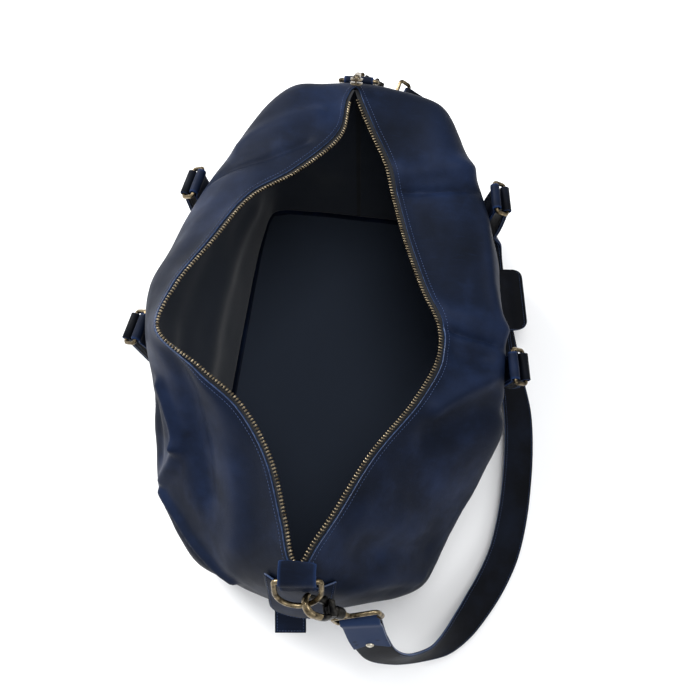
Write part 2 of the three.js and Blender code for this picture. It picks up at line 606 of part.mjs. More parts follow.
// Points down the hook: its own axes are c across, a along towards the strap, m out of its plane.
const HOOKS = {
  front: { eye: [16.8, -289.6, 230.6], a: [0.73, -0.14, -0.67], m: [0.78, 0.475, 0.485], loop: [0.9, 0.26, 0.355] },
  rear: { eye: [-6, 360, 203], a: [0.78, 0.1, -0.62], m: [0.62, -0.3, 0.72], loop: [0.2, 0.75, 0.3] },
};
const straps = {};
for (const [end, given] of Object.entries(HOOKS)) {
  const eye = vec(...given.eye);
  const a = vec(...given.a).normalize();
  const m = vec(...given.m).addScaledVector(a, -vec(...given.m).dot(a)).normalize();
  const c = a.clone().cross(m);
  const basis = new THREE.Matrix4().makeBasis(c, a, m);
  const placed = (body) => inFrame(geometryOf(body), basis, eye);
  const claw = [];
  for (const turn of steps(205, 360, 9)) {
    claw.push(vec(HOOK.eye * Math.cos(degrees(turn)), HOOK.eye * Math.sin(degrees(turn)), 0));
  }
  claw.push(vec(HOOK.eye, 10, 0), vec(9, 18, 0), vec(5, HOOK.shank, 0), vec(2, HOOK.barrelLow + 2, 0));
  const rod = solid(wire(claw, vec(0, 0, 1), HOOK.wire, false, 8));
  const barrelProfile = [
    [0, HOOK.barrelLow],
    [HOOK.barrelR, HOOK.barrelLow],
    [HOOK.barrelR, HOOK.barrelHigh],
    [3.1, HOOK.barrelHigh],
    [3.1, HOOK.barrelHigh - 10],
    [0, HOOK.barrelHigh - 10],
  ];
  const barrel = solid(new THREE.LatheGeometry(barrelProfile.map(([x, y]) => new THREE.Vector2(x, y)), 12));
  const block = solid(new THREE.BoxGeometry(19, 9, 11).translate(-0.5, GATE.pin[1], 0));
  const slot = solid(new THREE.BoxGeometry(14, 12, GATE.slot).translate(-10, GATE.pin[1] - 1, 0));
  const pin = new THREE.CylinderGeometry(GATE.pinR, GATE.pinR, 10, 10).rotateX(Math.PI / 2);
  const pinSolid = solid(pin.translate(GATE.pin[0], GATE.pin[1], 0));
  piece(`${end}_snap_hook`, placed(rod.add(barrel).add(block).subtract(slot).add(pinSolid)), darkMetal);
  const gateShape = new THREE.Shape();
  gateShape.moveTo(-10.5, -1.2);
  gateShape.lineTo(-6.6, -1.2);
  gateShape.lineTo(-4.2, GATE.pin[1]);
  gateShape.lineTo(-5.5, GATE.pin[1] + 2.4);
  gateShape.lineTo(-9, GATE.pin[1] + 2.4);
  gateShape.lineTo(-14.5, GATE.pin[1] - 4);
  gateShape.lineTo(-13.5, GATE.pin[1] - 7);
  gateShape.lineTo(-10, GATE.pin[1] - 8);
  gateShape.closePath();
  gateShape.holes.push(new THREE.Path().absarc(GATE.pin[0], GATE.pin[1], GATE.pinR + 0.35, 0, 2 * Math.PI, true));
  const gate = new THREE.ExtrudeGeometry(gateShape, { depth: GATE.thick, bevelEnabled: false, curveSegments: 5 });
  piece(`${end}_snap_gate`, placed(solid(gate.translate(0, 0, -GATE.thick / 2))), brass);

  // The loop: a flat oval of wire on a stem that turns in the barrel.
  const wide = vec(...given.loop).normalize();
  const post = eye.clone().addScaledVector(a, HOOK.toLoop);
  const reach = a.clone().addScaledVector(wide, -a.dot(wide)).normalize();
  const halfWide = LOOP_INSIDE / 2 + WIRE_R;
  const middle = post.clone().addScaledVector(wide, end === "front" ? 5 : 0);
  const oval = [];
  const r = 3.6;
  for (const [x, y, from] of [
    [halfWide - r, r, -90],
    [halfWide - r, LOOP_REACH - r, 0],
    [-halfWide + r, LOOP_REACH - r, 90],
    [-halfWide + r, r, 180],
  ]) {
    for (const turn of steps(from, from + 90, 3)) {
      oval.push([x + r * Math.cos(degrees(turn)), y + r * Math.sin(degrees(turn))]);
    }
  }
  const loopPath = oval.map(([x, y]) => middle.clone().addScaledVector(wide, x).addScaledVector(reach, y));
  const loopWire = solid(wire(loopPath, wide.clone().cross(reach), WIRE_R, true, 8));
  const stemFrom = HOOK.barrelHigh - 8;
  const stem = new THREE.CylinderGeometry(2.5, 2.5, HOOK.toLoop - stemFrom, 10);
  stem.applyQuaternion(new THREE.Quaternion().setFromUnitVectors(vec(0, 1, 0), a));
  const stemAt = eye.clone().addScaledVector(a, (HOOK.toLoop + stemFrom) / 2);
  piece(`${end}_strap_loop`, geometryOf(loopWire.add(solid(stem.translate(stemAt.x, stemAt.y, stemAt.z)))), brass);
  const slotMiddle = middle.clone().addScaledVector(reach, LOOP_REACH);
  straps[end] = { bar: slotMiddle, wide, reach };
}

// ---- shoulder strap: from the front loop, down, round the right side on its edge and up behind ----
const STRAP_ROUTE = [
  { at: [80, -323, 134], wide: [0.86, 0.3, 0.42] },
  { at: [96, -339, 98], wide: [0.6, 0.38, 0.7] },
  { at: [124, -343, 66], wide: [0.15, 0.32, 0.94] },
  { at: [155, -335, 46], wide: [-0.1, 0.36, 0.93] },
  { at: [178, -321, 37], wide: [-0.4, 0.5, 0.77] },
  { at: [199, -298, 28], wide: [-0.65, 0.5, 0.57] },
  { at: [218, -269, 20], wide: [-0.8, 0.42, 0.43] },
  { at: [233, -242, 15], wide: [-0.87, 0.34, 0.36] },
  { at: [248, -204, 12], wide: [-0.93, 0.2, 0.31] },
  { at: [257, -157, 11], wide: [-0.95, 0.1, 0.3] },
  { at: [261, -103, 11], wide: [-0.95, 0, 0.3] },
  { at: [261, -55, 11], wide: [-0.95, -0.06, 0.3] },
  { at: [257, -12, 12], wide: [-0.93, -0.15, 0.33] },
  { at: [247, 30, 15], wide: [-0.86, -0.25, 0.45] },
  { at: [234, 75, 14], wide: [-0.9, -0.25, 0.34] },
  { at: [222, 120, 13], wide: [-0.9, -0.3, 0.3] },
  { at: [204, 168, 13], wide: [-0.88, -0.35, 0.3] },
  { at: [188, 214, 16], wide: [-0.8, -0.4, 0.42] },
  { at: [176, 252, 34], wide: [-0.45, -0.4, 0.78] },
  { at: [156, 282, 64], wide: [-0.1, -0.4, 0.9] },
  { at: [132, 316, 102], wide: [0.05, -0.3, 0.94] },
  { at: [103, 346, 130], wide: [0.1, 0.1, 0.96] },
  { at: [76, 363, 142], wide: [0.12, 0.55, 0.8] },
];
const STRAP_ROLL_R = WIRE_R + 0.8 + STRAP_THICK;
{
  const route = STRAP_ROUTE.map(({ at }) => vec(...at));
  const turns = STRAP_ROUTE.map(({ wide }) => vec(...wide));
  const endStep = (end) => end.bar.clone().addScaledVector(end.leave, STRAP_ROLL_R - 0.5);
  for (const [end, next] of [["front", route[0]], ["rear", route[route.length - 1]]]) {
    straps[end].leave = next.clone().sub(straps[end].bar).normalize();
  }
  const centres = [endStep(straps.front), ...route, endStep(straps.rear)];
  const widths = [straps.front.wide, ...turns, straps.rear.wide];
  const curve = new THREE.CatmullRomCurve3(centres, false, "centripetal");
  const widthCurve = new THREE.CatmullRomCurve3(widths, false, "centripetal");
  const count = 46;
  const fine = steps(0, 1, count).map((share) => curve.getPoint(share));
  const fineWidths = steps(0, 1, count).map((share) => widthCurve.getPoint(share).normalize());
  const DOUBLED = 3; // steps at each end where the strap is folded over itself
  const thickAt = (i) => (i <= DOUBLED || i >= count - DOUBLED ? STRAP_THICK * 2 : STRAP_THICK);
  let strap = solid(strip(fine, fineWidths, STRAP_WIDE, thickAt));
  const ends = { front: [fine, fineWidths], rear: [[...fine].reverse(), [...fineWidths].reverse()] };
  for (const [end, [points, across]] of Object.entries(ends)) {
    const { bar, wide } = straps[end];
    const outer = new THREE.CylinderGeometry(STRAP_ROLL_R, STRAP_ROLL_R, STRAP_WIDE - 1, 14);
    const bore = new THREE.CylinderGeometry(WIRE_R + 0.8, WIRE_R + 0.8, STRAP_WIDE + 12, 12);
    const turn = new THREE.Quaternion().setFromUnitVectors(vec(0, 1, 0), wide);
    const place = (geometry) => solid(geometry.applyQuaternion(turn).translate(bar.x, bar.y, bar.z));
    strap = strap.add(place(outer)).subtract(place(bore));
    const middle = DOUBLED - 1;
    const along = points[middle + 1].clone().sub(points[middle - 1]).normalize();
    const face = along.cross(across[middle]).normalize();
    strap = drilled(strap, points[middle], face);
    piece(`${end}_strap_rivet`, rivet(points[middle], face, STRAP_THICK * 2 + 2 * GAP), brass);
  }
  piece("shoulder_strap", geometryOf(largestOf(strap)), strapLeather);
}

// ---- zip slider at the rear tip, its pull, and the stop at the front tip ----
const SLIDER = { wide: 15, long: 13, thick: 2.2, apart: 5 };
const SLIDER_AT = vec(-12, 312, 264);
const SLIDER_TILT = degrees(-40); // the slider follows the zip down over the end
const PULL_RISE = 4.4; // of the pull's underside, over the slider's middle
const PULL_LONG = 23;
{
  const top = new THREE.BoxGeometry(SLIDER.wide, SLIDER.long, SLIDER.thick).translate(0, 0, SLIDER.apart / 2);
  const bottom = new THREE.BoxGeometry(SLIDER.wide, SLIDER.long, SLIDER.thick).translate(0, 0, -SLIDER.apart / 2);
  const post = new THREE.BoxGeometry(2.4, 5, SLIDER.apart).translate(0, -3.4, 0);
  const bridgeShape = new THREE.Shape();
  bridgeShape.absarc(0, 0, 5, 0, Math.PI, false);
  bridgeShape.lineTo(-3.2, 0);
  bridgeShape.absarc(0, 0, 3.2, Math.PI, 0, true);
  bridgeShape.closePath();
  const bridge = acrossBar(bridgeShape, 3, 6).translate(0, 0, SLIDER.apart / 2 + SLIDER.thick / 2 - 0.3);
  const slider = geometryOf(solid(top).add(solid(bottom)).add(solid(post)).add(solid(bridge)));
  const at = SLIDER_AT;
  piece("zip_slider", slider.rotateX(SLIDER_TILT).translate(at.x, at.y, at.z), brass);
  // The pull: a plate with a slot for the bridge, hanging over the end.
  const pullShape = new THREE.Shape();
  pullShape.moveTo(-5, -1.6);
  pullShape.lineTo(5, -1.6);
  pullShape.lineTo(3.6, PULL_LONG);
  pullShape.absarc(0, PULL_LONG, 3.6, 0, Math.PI, false);
  pullShape.closePath();
  const eye = new THREE.Path();
  eye.moveTo(-2.4, 0.2);
  eye.lineTo(-2.4, 7);
  eye.lineTo(2.4, 7);
  eye.lineTo(2.4, 0.2);
  pullShape.holes.push(eye);
  const pull = new THREE.ExtrudeGeometry(pullShape, { depth: 1.4, bevelEnabled: false, curveSegments: 8 });
  pull.translate(0, 0, PULL_RISE).rotateX(SLIDER_TILT).translate(at.x, at.y, at.z);
  piece("zip_pull", pull, brass);
}
{
  const stop = new THREE.BoxGeometry(9, 4, 4).rotateX(degrees(-12));
  piece("zip_front_stop", stop.translate(-1.2, -257.8, 268.6), brass);
}

export default bag;
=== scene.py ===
import math

import bmesh
import bpy
import numpy as np
from bmesh.types import BMEdge, BMVert
from mathutils import Matrix, Vector, noise


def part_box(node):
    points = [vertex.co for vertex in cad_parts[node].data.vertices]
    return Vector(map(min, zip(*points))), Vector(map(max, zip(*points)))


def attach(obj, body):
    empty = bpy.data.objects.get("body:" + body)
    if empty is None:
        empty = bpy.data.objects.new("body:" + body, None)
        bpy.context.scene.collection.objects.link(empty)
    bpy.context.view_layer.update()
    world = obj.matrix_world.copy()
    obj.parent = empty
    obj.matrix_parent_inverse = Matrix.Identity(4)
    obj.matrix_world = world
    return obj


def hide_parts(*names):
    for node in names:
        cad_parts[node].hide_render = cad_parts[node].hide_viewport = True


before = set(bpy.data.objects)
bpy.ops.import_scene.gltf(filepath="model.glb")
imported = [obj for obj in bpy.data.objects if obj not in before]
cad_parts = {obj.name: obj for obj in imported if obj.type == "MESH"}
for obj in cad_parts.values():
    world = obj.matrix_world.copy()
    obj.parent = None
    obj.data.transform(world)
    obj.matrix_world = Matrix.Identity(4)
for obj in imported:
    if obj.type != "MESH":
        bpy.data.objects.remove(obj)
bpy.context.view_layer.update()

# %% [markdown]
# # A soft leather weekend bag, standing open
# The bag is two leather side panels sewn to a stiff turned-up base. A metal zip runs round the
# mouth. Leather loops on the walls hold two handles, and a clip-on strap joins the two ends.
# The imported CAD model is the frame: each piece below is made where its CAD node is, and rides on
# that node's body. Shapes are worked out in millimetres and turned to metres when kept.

MM = 0.001

# %% [markdown]
# ## The camera
# Someone standing at the front end looks down into the open bag. A 36 mm lens on a 36 mm sensor
# sees the whole of it from about a metre up.

# %% The camera
CAMERA_AT = (0.0503, -0.2589, 0.9736)
CAMERA_RIGHT = Vector((0.9925, 0.1219, 0.0))
CAMERA_UP = Vector((-0.1159, 0.9440, 0.3090))
camera_data = bpy.data.cameras.new("camera")
camera_data.lens = 36
camera_data.sensor_width = 36
camera = bpy.data.objects.new("camera", camera_data)
facing = CAMERA_RIGHT.cross(CAMERA_UP).normalized()
camera.matrix_world = Matrix((CAMERA_RIGHT, CAMERA_UP, facing)).transposed().to_4x4()
camera.location = CAMERA_AT
bpy.context.scene.collection.objects.link(camera)
bpy.context.scene.camera = camera
print("camera height in metres:", round(camera.location.z, 3))

# %% [markdown]
# ## Nodes and colours
# Colours are picked as sRGB hex values, which the shader needs as linear light. One helper adds a
# node, sets it and links it, so each material below reads as a short list of steps.

# %% Colour and node helpers
def srgb(code, alpha=1.0):
    """An sRGB hex colour as the linear one that a shader works in."""
    parts = [int(code[i : i + 2], 16) / 255 for i in (1, 3, 5)]
    linear = [p / 12.92 if p <= 0.04045 else ((p + 0.055) / 1.055) ** 2.4 for p in parts]
    return (*linear, alpha)


def add(tree, kind, inputs=None, **settings):
    """One node with its settings. Its inputs are values, or other nodes' sockets to link."""
    made = tree.nodes.new(kind)
    for name, value in settings.items():
        setattr(made, name, value)
    for name, value in (inputs or {}).items():
        if isinstance(value, bpy.types.NodeSocket):
            tree.links.new(value, made.inputs[name])
        else:
            made.inputs[name].default_value = value
    return made


def new_material(name, **shader):
    """A material with one Principled shader, set from the given values."""
    material = bpy.data.materials.new(name)
    material.use_nodes = True
    tree = material.node_tree
    principled = tree.nodes["Principled BSDF"]
    for socket, value in shader.items():
        principled.inputs[socket.replace("_", " ")].default_value = value
    return material, tree, principled


def ramp(tree, factor, stops):
    """A colour ramp through (position, hex colour) stops."""
    made = add(tree, "ShaderNodeValToRGB", {"Fac": factor})
    while len(made.color_ramp.elements) < len(stops):
        made.color_ramp.elements.new(0.5)
    for element, (position, code) in zip(made.color_ramp.elements, stops):
        element.position = position
        element.color = srgb(code)
    return made.outputs["Color"]


def mixed(tree, factor, first, second, blend="MIX"):
    """Two colours mixed by a factor."""
    made = add(tree, "ShaderNodeMix", data_type="RGBA", blend_type=blend)
    for socket, value in zip((made.inputs[0], made.inputs[6], made.inputs[7]), (factor, first, second)):
        if isinstance(value, bpy.types.NodeSocket):
            tree.links.new(value, socket)
        else:
            socket.default_value = value
    return made.outputs[2]


print("navy in linear light:", [round(c, 4) for c in srgb("#1f2739")[:3]])

# %% [markdown]
# ## Pull-up leather
# The panels are full-grain cow leather, dyed navy through and waxed. Wax makes it pull up: it goes
# paler where it bends, and it scuffs in light marks. Its grain is pebbles about 1 mm across, which
# are drawn at 1.3 mm so that they show. Cloudy dye is noise some 90 mm wide. The attribute
# "ridge", which the panels carry, says where the leather bends outwards. There it is painted paler,
# partly for the pull-up and partly as a painted highlight along the ridges. "edge" marks cut edges,
# where blue dye and burnishing show. On the shoulder strap it marks the folded-over ends, which are
# painted paler in the edge colour as painted light.

# %% Leather
def leather(name, dark, middle, light, edge, grain_mm=1.3, roughness=(0.46, 0.64), bump=0.35):
    """Waxed, dyed leather with cloudy colour, pale bends with a painted highlight on ridges, fine scuffs and
    a pebble grain.
    """
    material, tree, shader = new_material(name, IOR=1.5, Specular_IOR_Level=0.06)
    place = add(tree, "ShaderNodeTexCoord").outputs["Object"]
    cloud = add(tree, "ShaderNodeTexNoise", {"Vector": place, "Scale": 11.0, "Detail": 5.0, "Roughness": 0.6})
    colour = ramp(tree, cloud.outputs["Fac"], [(0.3, dark), (0.5, middle), (0.72, light)])
    drawn_out = {"Vector": place, "Rotation": (0.3, 0.2, 0.6), "Scale": (1, 7, 3)}
    stretched = add(tree, "ShaderNodeMapping", drawn_out).outputs["Vector"]
    scuff = add(tree, "ShaderNodeTexNoise", {"Vector": stretched, "Scale": 60.0, "Detail": 8.0})
    scuffed = add(
        tree,
        "ShaderNodeMapRange",
        {"Value": scuff.outputs["Fac"], "From Min": 0.58, "From Max": 0.82, "To Min": 0.0, "To Max": 0.3},
    )
    colour = mixed(tree, scuffed.outputs["Result"], colour, srgb(light))
    # Painted highlight: ridges are painted towards the light colour, which also stands for the pull-up
    # paling.
    ridge = add(tree, "ShaderNodeAttribute", attribute_name="ridge")
    colour = mixed(tree, ridge.outputs["Fac"], colour, srgb(light))
    # On the shoulder strap this mark paints the folded-over ends in the edge colour, as painted light.
    cut = add(tree, "ShaderNodeAttribute", attribute_name="edge")
    colour = mixed(tree, cut.outputs["Fac"], colour, srgb(edge))
    tree.links.new(colour, shader.inputs["Base Color"])
    grain = {"Vector": place, "Scale": 1000 / grain_mm, "Smoothness": 0.6}
    pebble = add(tree, "ShaderNodeTexVoronoi", grain, feature="SMOOTH_F1")
    pore = add(tree, "ShaderNodeTexNoise", {"Vector": place, "Scale": 420.0, "Detail": 4.0})
    height = add(
        tree, "ShaderNodeMath", {0: pebble.outputs["Distance"], 1: pore.outputs["Fac"]}, operation="MULTIPLY"
    )
    relief = {"Height": height.outputs["Value"], "Strength": bump, "Distance": 0.0006}
    raised = add(tree, "ShaderNodeBump", relief)
    tree.links.new(raised.outputs["Normal"], shader.inputs["Normal"])
    wax = add(
        tree,
        "ShaderNodeMapRange",
        {
            "Value": cloud.outputs["Fac"], "From Min": 0.3, "From Max": 0.7,
            "To Min": roughness[1], "To Max": roughness[0],
        },
    )
    tree.links.new(wax.outputs["Result"], shader.inputs["Roughness"])
    return material


navy = leather("waxed_navy_leather", "#090e18", "#0d1423", "#17223a", "#1c3055")
# Its edge colour also paints the shoulder strap's folded-over ends, as painted light.
strap_navy = leather(
    "smooth_strap_leather", "#030508", "#06080e", "#0e1420", "#202e4a", grain_mm=0.9, bump=0.2
)
print("leathers:", navy.name, strap_navy.name)

# %% [markdown]
# ## Thread, cut edges and cloth
# The stitching is bonded nylon thread, brighter blue than the leather. Cut edges are dyed and
# burnished. The lining is a dark cotton twill: its ribs run slantwise, 0.5 mm apart on the real
# cloth and drawn 1.6 mm apart so that they show. The zip tape is woven polyester, with cords along it.

# %% Thread, edge and cloth materials
WAVES_PER_UNIT = 3.1  # how many bands the wave texture draws in a unit, at scale 1


def twilled(name, dark, light, pitch_mm, slant, strength, **shader):
    """Woven cloth from its own UV map, which is in metres: bands of thread at a pitch."""
    material, tree, principled = new_material(name, Roughness=0.92, **shader)
    uv = add(tree, "ShaderNodeUVMap", uv_map="UVMap").outputs["UV"]
    turned = add(tree, "ShaderNodeMapping", {"Vector": uv, "Rotation": (0, 0, math.radians(slant))})
    ribs = add(
        tree,
        "ShaderNodeTexWave",
        {
            "Vector": turned.outputs["Vector"], "Scale": 1000 / pitch_mm / WAVES_PER_UNIT,
            "Distortion": 0.6, "Detail": 1.0,
        },
    )
    fuzz = add(tree, "ShaderNodeTexNoise", {"Vector": uv, "Scale": 900.0, "Detail": 3.0})
    both = {0: ribs.outputs["Fac"], 1: fuzz.outputs["Fac"]}
    shade = add(tree, "ShaderNodeMath", both, operation="MULTIPLY").outputs["Value"]
    colour = ramp(tree, shade, [(0.05, dark), (0.6, light)])
    tree.links.new(colour, principled.inputs["Base Color"])
    raised = add(tree, "ShaderNodeBump", {"Height": shade, "Strength": strength, "Distance": 0.0005})
    tree.links.new(raised.outputs["Normal"], principled.inputs["Normal"])
    return material


twill = twilled("cotton_twill", "#0c1119", "#1d2a3d", 1.6, 35, 0.5, Sheen_Weight=0.25)
tape_cloth = twilled("woven_zip_tape", "#08090c", "#1b1d22", 0.9, 90, 0.6)

thread, tree, shader = new_material("bonded_nylon_thread", Roughness=0.45)
place = add(tree, "ShaderNodeTexCoord").outputs["Object"]
ply = add(tree, "ShaderNodeTexNoise", {"Vector": place, "Scale": 1500.0, "Detail": 2.0})
colour = ramp(tree, ply.outputs["Fac"], [(0.35, "#142442"), (0.65, "#2a4573")])
tree.links.new(colour, shader.inputs["Base Color"])

cut_edge, tree, shader = new_material("burnished_leather_edge", Roughness=0.38)
place = add(tree, "ShaderNodeTexCoord").outputs["Object"]
fibre = add(tree, "ShaderNodeTexNoise", {"Vector": place, "Scale": 300.0, "Detail": 6.0})
colour = ramp(tree, fibre.outputs["Fac"], [(0.3, "#14233f"), (0.7, "#34496e")])
tree.links.new(colour, shader.inputs["Base Color"])
raised = add(tree, "ShaderNodeBump", {"Height": fibre.outputs["Fac"], "Strength": 0.3, "Distance": 0.0004})
tree.links.new(raised.outputs["Normal"], shader.inputs["Normal"])

board, tree, shader = new_material("grey_fibreboard", Roughness=0.9)
place = add(tree, "ShaderNodeTexCoord").outputs["Object"]
pulp = add(tree, "ShaderNodeTexNoise", {"Vector": place, "Scale": 180.0, "Detail": 8.0})
colour = ramp(tree, pulp.outputs["Fac"], [(0.3, "#2c2c2e"), (0.7, "#4a4a4b")])
tree.links.new(colour, shader.inputs["Base Color"])
print("cloths:", twill.name, tape_cloth.name)

# %% [markdown]
# ## Metals
# Rings, loops and teeth are brass with an antique finish: blackened chemically, then polished, so
# the high places shine warm and the low ones stay brown. Metallic is 1 and the colour is the
# metal's own. The snap hooks' bodies are blackened all over. Both have fine tumbling marks.

# %% Metals
def plated(name, low, high, roughness, patch_mm):
    """Brass that was blackened and polished back, cloudy at the size of a patch."""
    material, tree, principled = new_material(name, Metallic=1.0)
    place = add(tree, "ShaderNodeTexCoord").outputs["Object"]
    clouds = {"Vector": place, "Scale": 1000 / patch_mm, "Detail": 6.0, "Roughness": 0.65}
    cloud = add(tree, "ShaderNodeTexNoise", clouds)
    colour = ramp(tree, cloud.outputs["Fac"], [(0.36, low), (0.62, high)])
    tree.links.new(colour, principled.inputs["Base Color"])
    worn = add(
        tree,
        "ShaderNodeMapRange",
        {
            "Value": cloud.outputs["Fac"], "From Min": 0.3, "From Max": 0.7,
            "To Min": roughness[1], "To Max": roughness[0],
        },
    )
    tree.links.new(worn.outputs["Result"], principled.inputs["Roughness"])
    marks = add(tree, "ShaderNodeTexNoise", {"Vector": place, "Scale": 1400.0, "Detail": 3.0})
    relief = {"Height": marks.outputs["Fac"], "Strength": 0.12, "Distance": 0.0002}
    raised = add(tree, "ShaderNodeBump", relief)
    tree.links.new(raised.outputs["Normal"], principled.inputs["Normal"])
    return material


brass = plated("antique_brass_plate", "#2a231a", "#8a7b60", (0.22, 0.42), 7)
zip_brass = plated("antique_brass_teeth", "#3a3228", "#93866f", (0.24, 0.4), 5)
cap_metal = plated("polished_rivet_brass", "#77705f", "#ded8c8", (0.2, 0.34), 6)
black_metal = plated("blackened_zinc", "#0d0d0f", "#35332f", (0.28, 0.5), 9)
print("metals:", brass.name, zip_brass.name, black_metal.name)

# %% [markdown]
# ## Keeping a piece
# Every piece is made in a bmesh, in millimetres. This turns it to metres with its place in its
# mesh, so the object itself sits at the origin, and it gives it its body, its finish and the CAD
# node it stands for.

# %% Keep a piece
def keep(bm, name, materials, body, replaces=(), sharp=40, outwards=True):
    """A bmesh in millimetres, made an object that rides on a body. Sharp is the crease angle."""
    if outwards:
        bmesh.ops.recalc_face_normals(bm, faces=bm.faces[:])
    bmesh.ops.scale(bm, vec=(MM, MM, MM), verts=bm.verts[:])
    mesh = bpy.data.meshes.new(name)
    bm.to_mesh(mesh)
    bm.free()
    mesh.polygons.foreach_set("use_smooth", [True] * len(mesh.polygons))
    mesh.set_sharp_from_angle(angle=math.radians(sharp))
    for material in materials:
        mesh.materials.append(material)
    made = bpy.data.objects.new(name, mesh)
    bpy.context.scene.collection.objects.link(made)
    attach(made, body)
    if replaces:
        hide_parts(*replaces)
    print(f"{name}: {len(mesh.polygons)} faces")
    return made


def finish_with(made, kind, **settings):
    """A live modifier on a piece."""
    modifier = made.modifiers.new(kind.lower(), kind)
    for name, value in settings.items():
        setattr(modifier, name, value)
    return modifier


def rounded(made, levels=1):
    """Subdivision, the same in the viewport and the render."""
    finish_with(made, "SUBSURF", levels=levels, render_levels=levels)

# %% [markdown]
# ## Sweeping an outline
# Straps, rolled loops and wires all have one section along a path. The first ring of edges is made
# from the outline, and each further ring is an extrusion of the last, moved to the next frame.
# A frame's X is the section's width, its Y the thickness and its Z the way along.

# %% Frames and sweeps
def frames_along(points, widths, closed=False, thick=None):
    """A frame at each point: the width direction is made square to the path."""
    made = []
    count = len(points)
    for i, point in enumerate(points):
        before = points[(i - 1) % count if closed else max(i - 1, 0)]
        after = points[(i + 1) % count if closed else min(i + 1, count - 1)]
        along = (after - before).normalized()
        width = widths[i] if isinstance(widths, list) else widths
        across = (width - along * width.dot(along)).normalized()
        up = along.cross(across)
        scale = thick[i] if thick else 1.0
        columns = [*across, 0], [*(up * scale), 0], [*along, 0], [*point, 1]
        made.append(Matrix(columns).transposed())
    return made


def sweep(frames, outline, closed=False, edges=()):
    """A closed outline carried along the frames. Edges are the outline's points on a cut edge."""
    bm = bmesh.new()
    cut = bm.verts.layers.float.new("edge")
    first = [bm.verts.new(frames[0] @ Vector((x, y, 0))) for x, y in outline]
    for i in edges:
        first[i][cut] = 1.0
    ring = [bm.edges.new(pair) for pair in zip(first, first[1:] + first[:1])]
    start = list(ring)
    for before, after in zip(frames, frames[1:] + ([frames[0]] if closed else [])):
        made = bmesh.ops.extrude_edge_only(bm, edges=ring)["geom"]
        verts = [g for g in made if isinstance(g, BMVert)]
        known = set(verts)
        ring = [g for g in made if isinstance(g, BMEdge) and set(g.verts) <= known]
        bmesh.ops.transform(bm, matrix=after @ before.inverted(), verts=verts)
    if closed:
        bmesh.ops.remove_doubles(bm, verts=bm.verts[:], dist=0.001)
    else:
        bmesh.ops.contextual_create(bm, geom=start)
        bmesh.ops.contextual_create(bm, geom=ring)
    return bm


def band(wide, thick, edge=0.7):
    """The outline of a strap with rounded cut edges, and which of its points are on them."""
    w, t = wide / 2, thick / 2
    points = [(-w + edge, -t), (0, -t), (w - edge, -t), (w, -t + edge), (w, t - edge)]
    points += [(w - edge, t), (0, t), (-w + edge, t), (-w, t - edge), (-w, -t + edge)]
    return points, (3, 4, 8, 9)


def disc(radius, sides=14):
    """A round outline."""
    turns = [2 * math.pi * k / sides for k in range(sides)]
    return [(radius * math.cos(t), radius * math.sin(t)) for t in turns]


def pointing(place, axis, side=None):
    """A frame at a place with Z along an axis, and X near a side direction if one is given."""
    z = Vector(axis).normalized()
    hint = Vector(side) if side is not None else (Vector((1, 0, 0)) if abs(z.x) < 0.9 else Vector((0, 1, 0)))
    x = (hint - z * hint.dot(z)).normalized()
    return Matrix(([*x, 0], [*z.cross(x), 0], [*z, 0], [*place, 1])).transposed()


def joined(target, source):
    """Adds a bmesh's faces to another, and frees it."""
    mesh = bpy.data.meshes.new("joining")
    source.to_mesh(mesh)
    source.free()
    target.from_mesh(mesh)
    bpy.data.meshes.remove(mesh)
    return target


def smooth_curve(points, places, closed=False):
    """Points on a centripetal Catmull-Rom curve through the given ones, at places from 0 to 1."""
    points = np.asarray(points, float)
    count = len(points)
    at = np.asarray(places, float) * (count if closed else count - 1)
    if closed:
        low = np.floor(at).astype(int)
        near = [points[(low + k) % count] for k in (-1, 0, 1, 2)]
    else:
        low = np.minimum(np.floor(at).astype(int), count - 2)
        padded = np.vstack([2 * points[0] - points[1], points, 2 * points[-1] - points[-2]])
        near = [padded[low + 1 + k] for k in (-1, 0, 1, 2)]
    w = (at - low)[..., None]
    gaps = [np.maximum(((b - a) ** 2).sum(-1) ** 0.25, 1e-4)[..., None] for a, b in zip(near, near[1:])]
    chord = [(b - a) / g for a, b, g in zip(near, near[1:], gaps)]
    first = (chord[0] - (near[2] - near[0]) / (gaps[0] + gaps[1]) + chord[1]) * gaps[1]
    second = (chord[1] - (near[3] - near[1]) / (gaps[1] + gaps[2]) + chord[2]) * gaps[1]
    step = near[1] - near[2]
    return near[1] + first * w - (3 * step + 2 * first + second) * w**2 + (2 * step + first + second) * w**3


def eased(share):
    """A smooth step from 0 to 1."""
    share = np.clip(share, 0, 1)
    return share * share * (3 - 2 * share)

# %% [markdown]
# ## The bag's skin
# The leather hangs from the zip, folds over where the panels are stiffened and stands on the base.
# Twenty-seven stations round the bag, clockwise from the front seam, say where that skin goes:
# a base point, a fold point, a mouth point on the zip teeth, and how far the wall bellies out.
# Smooth curves through them give a column up the bag at any station.

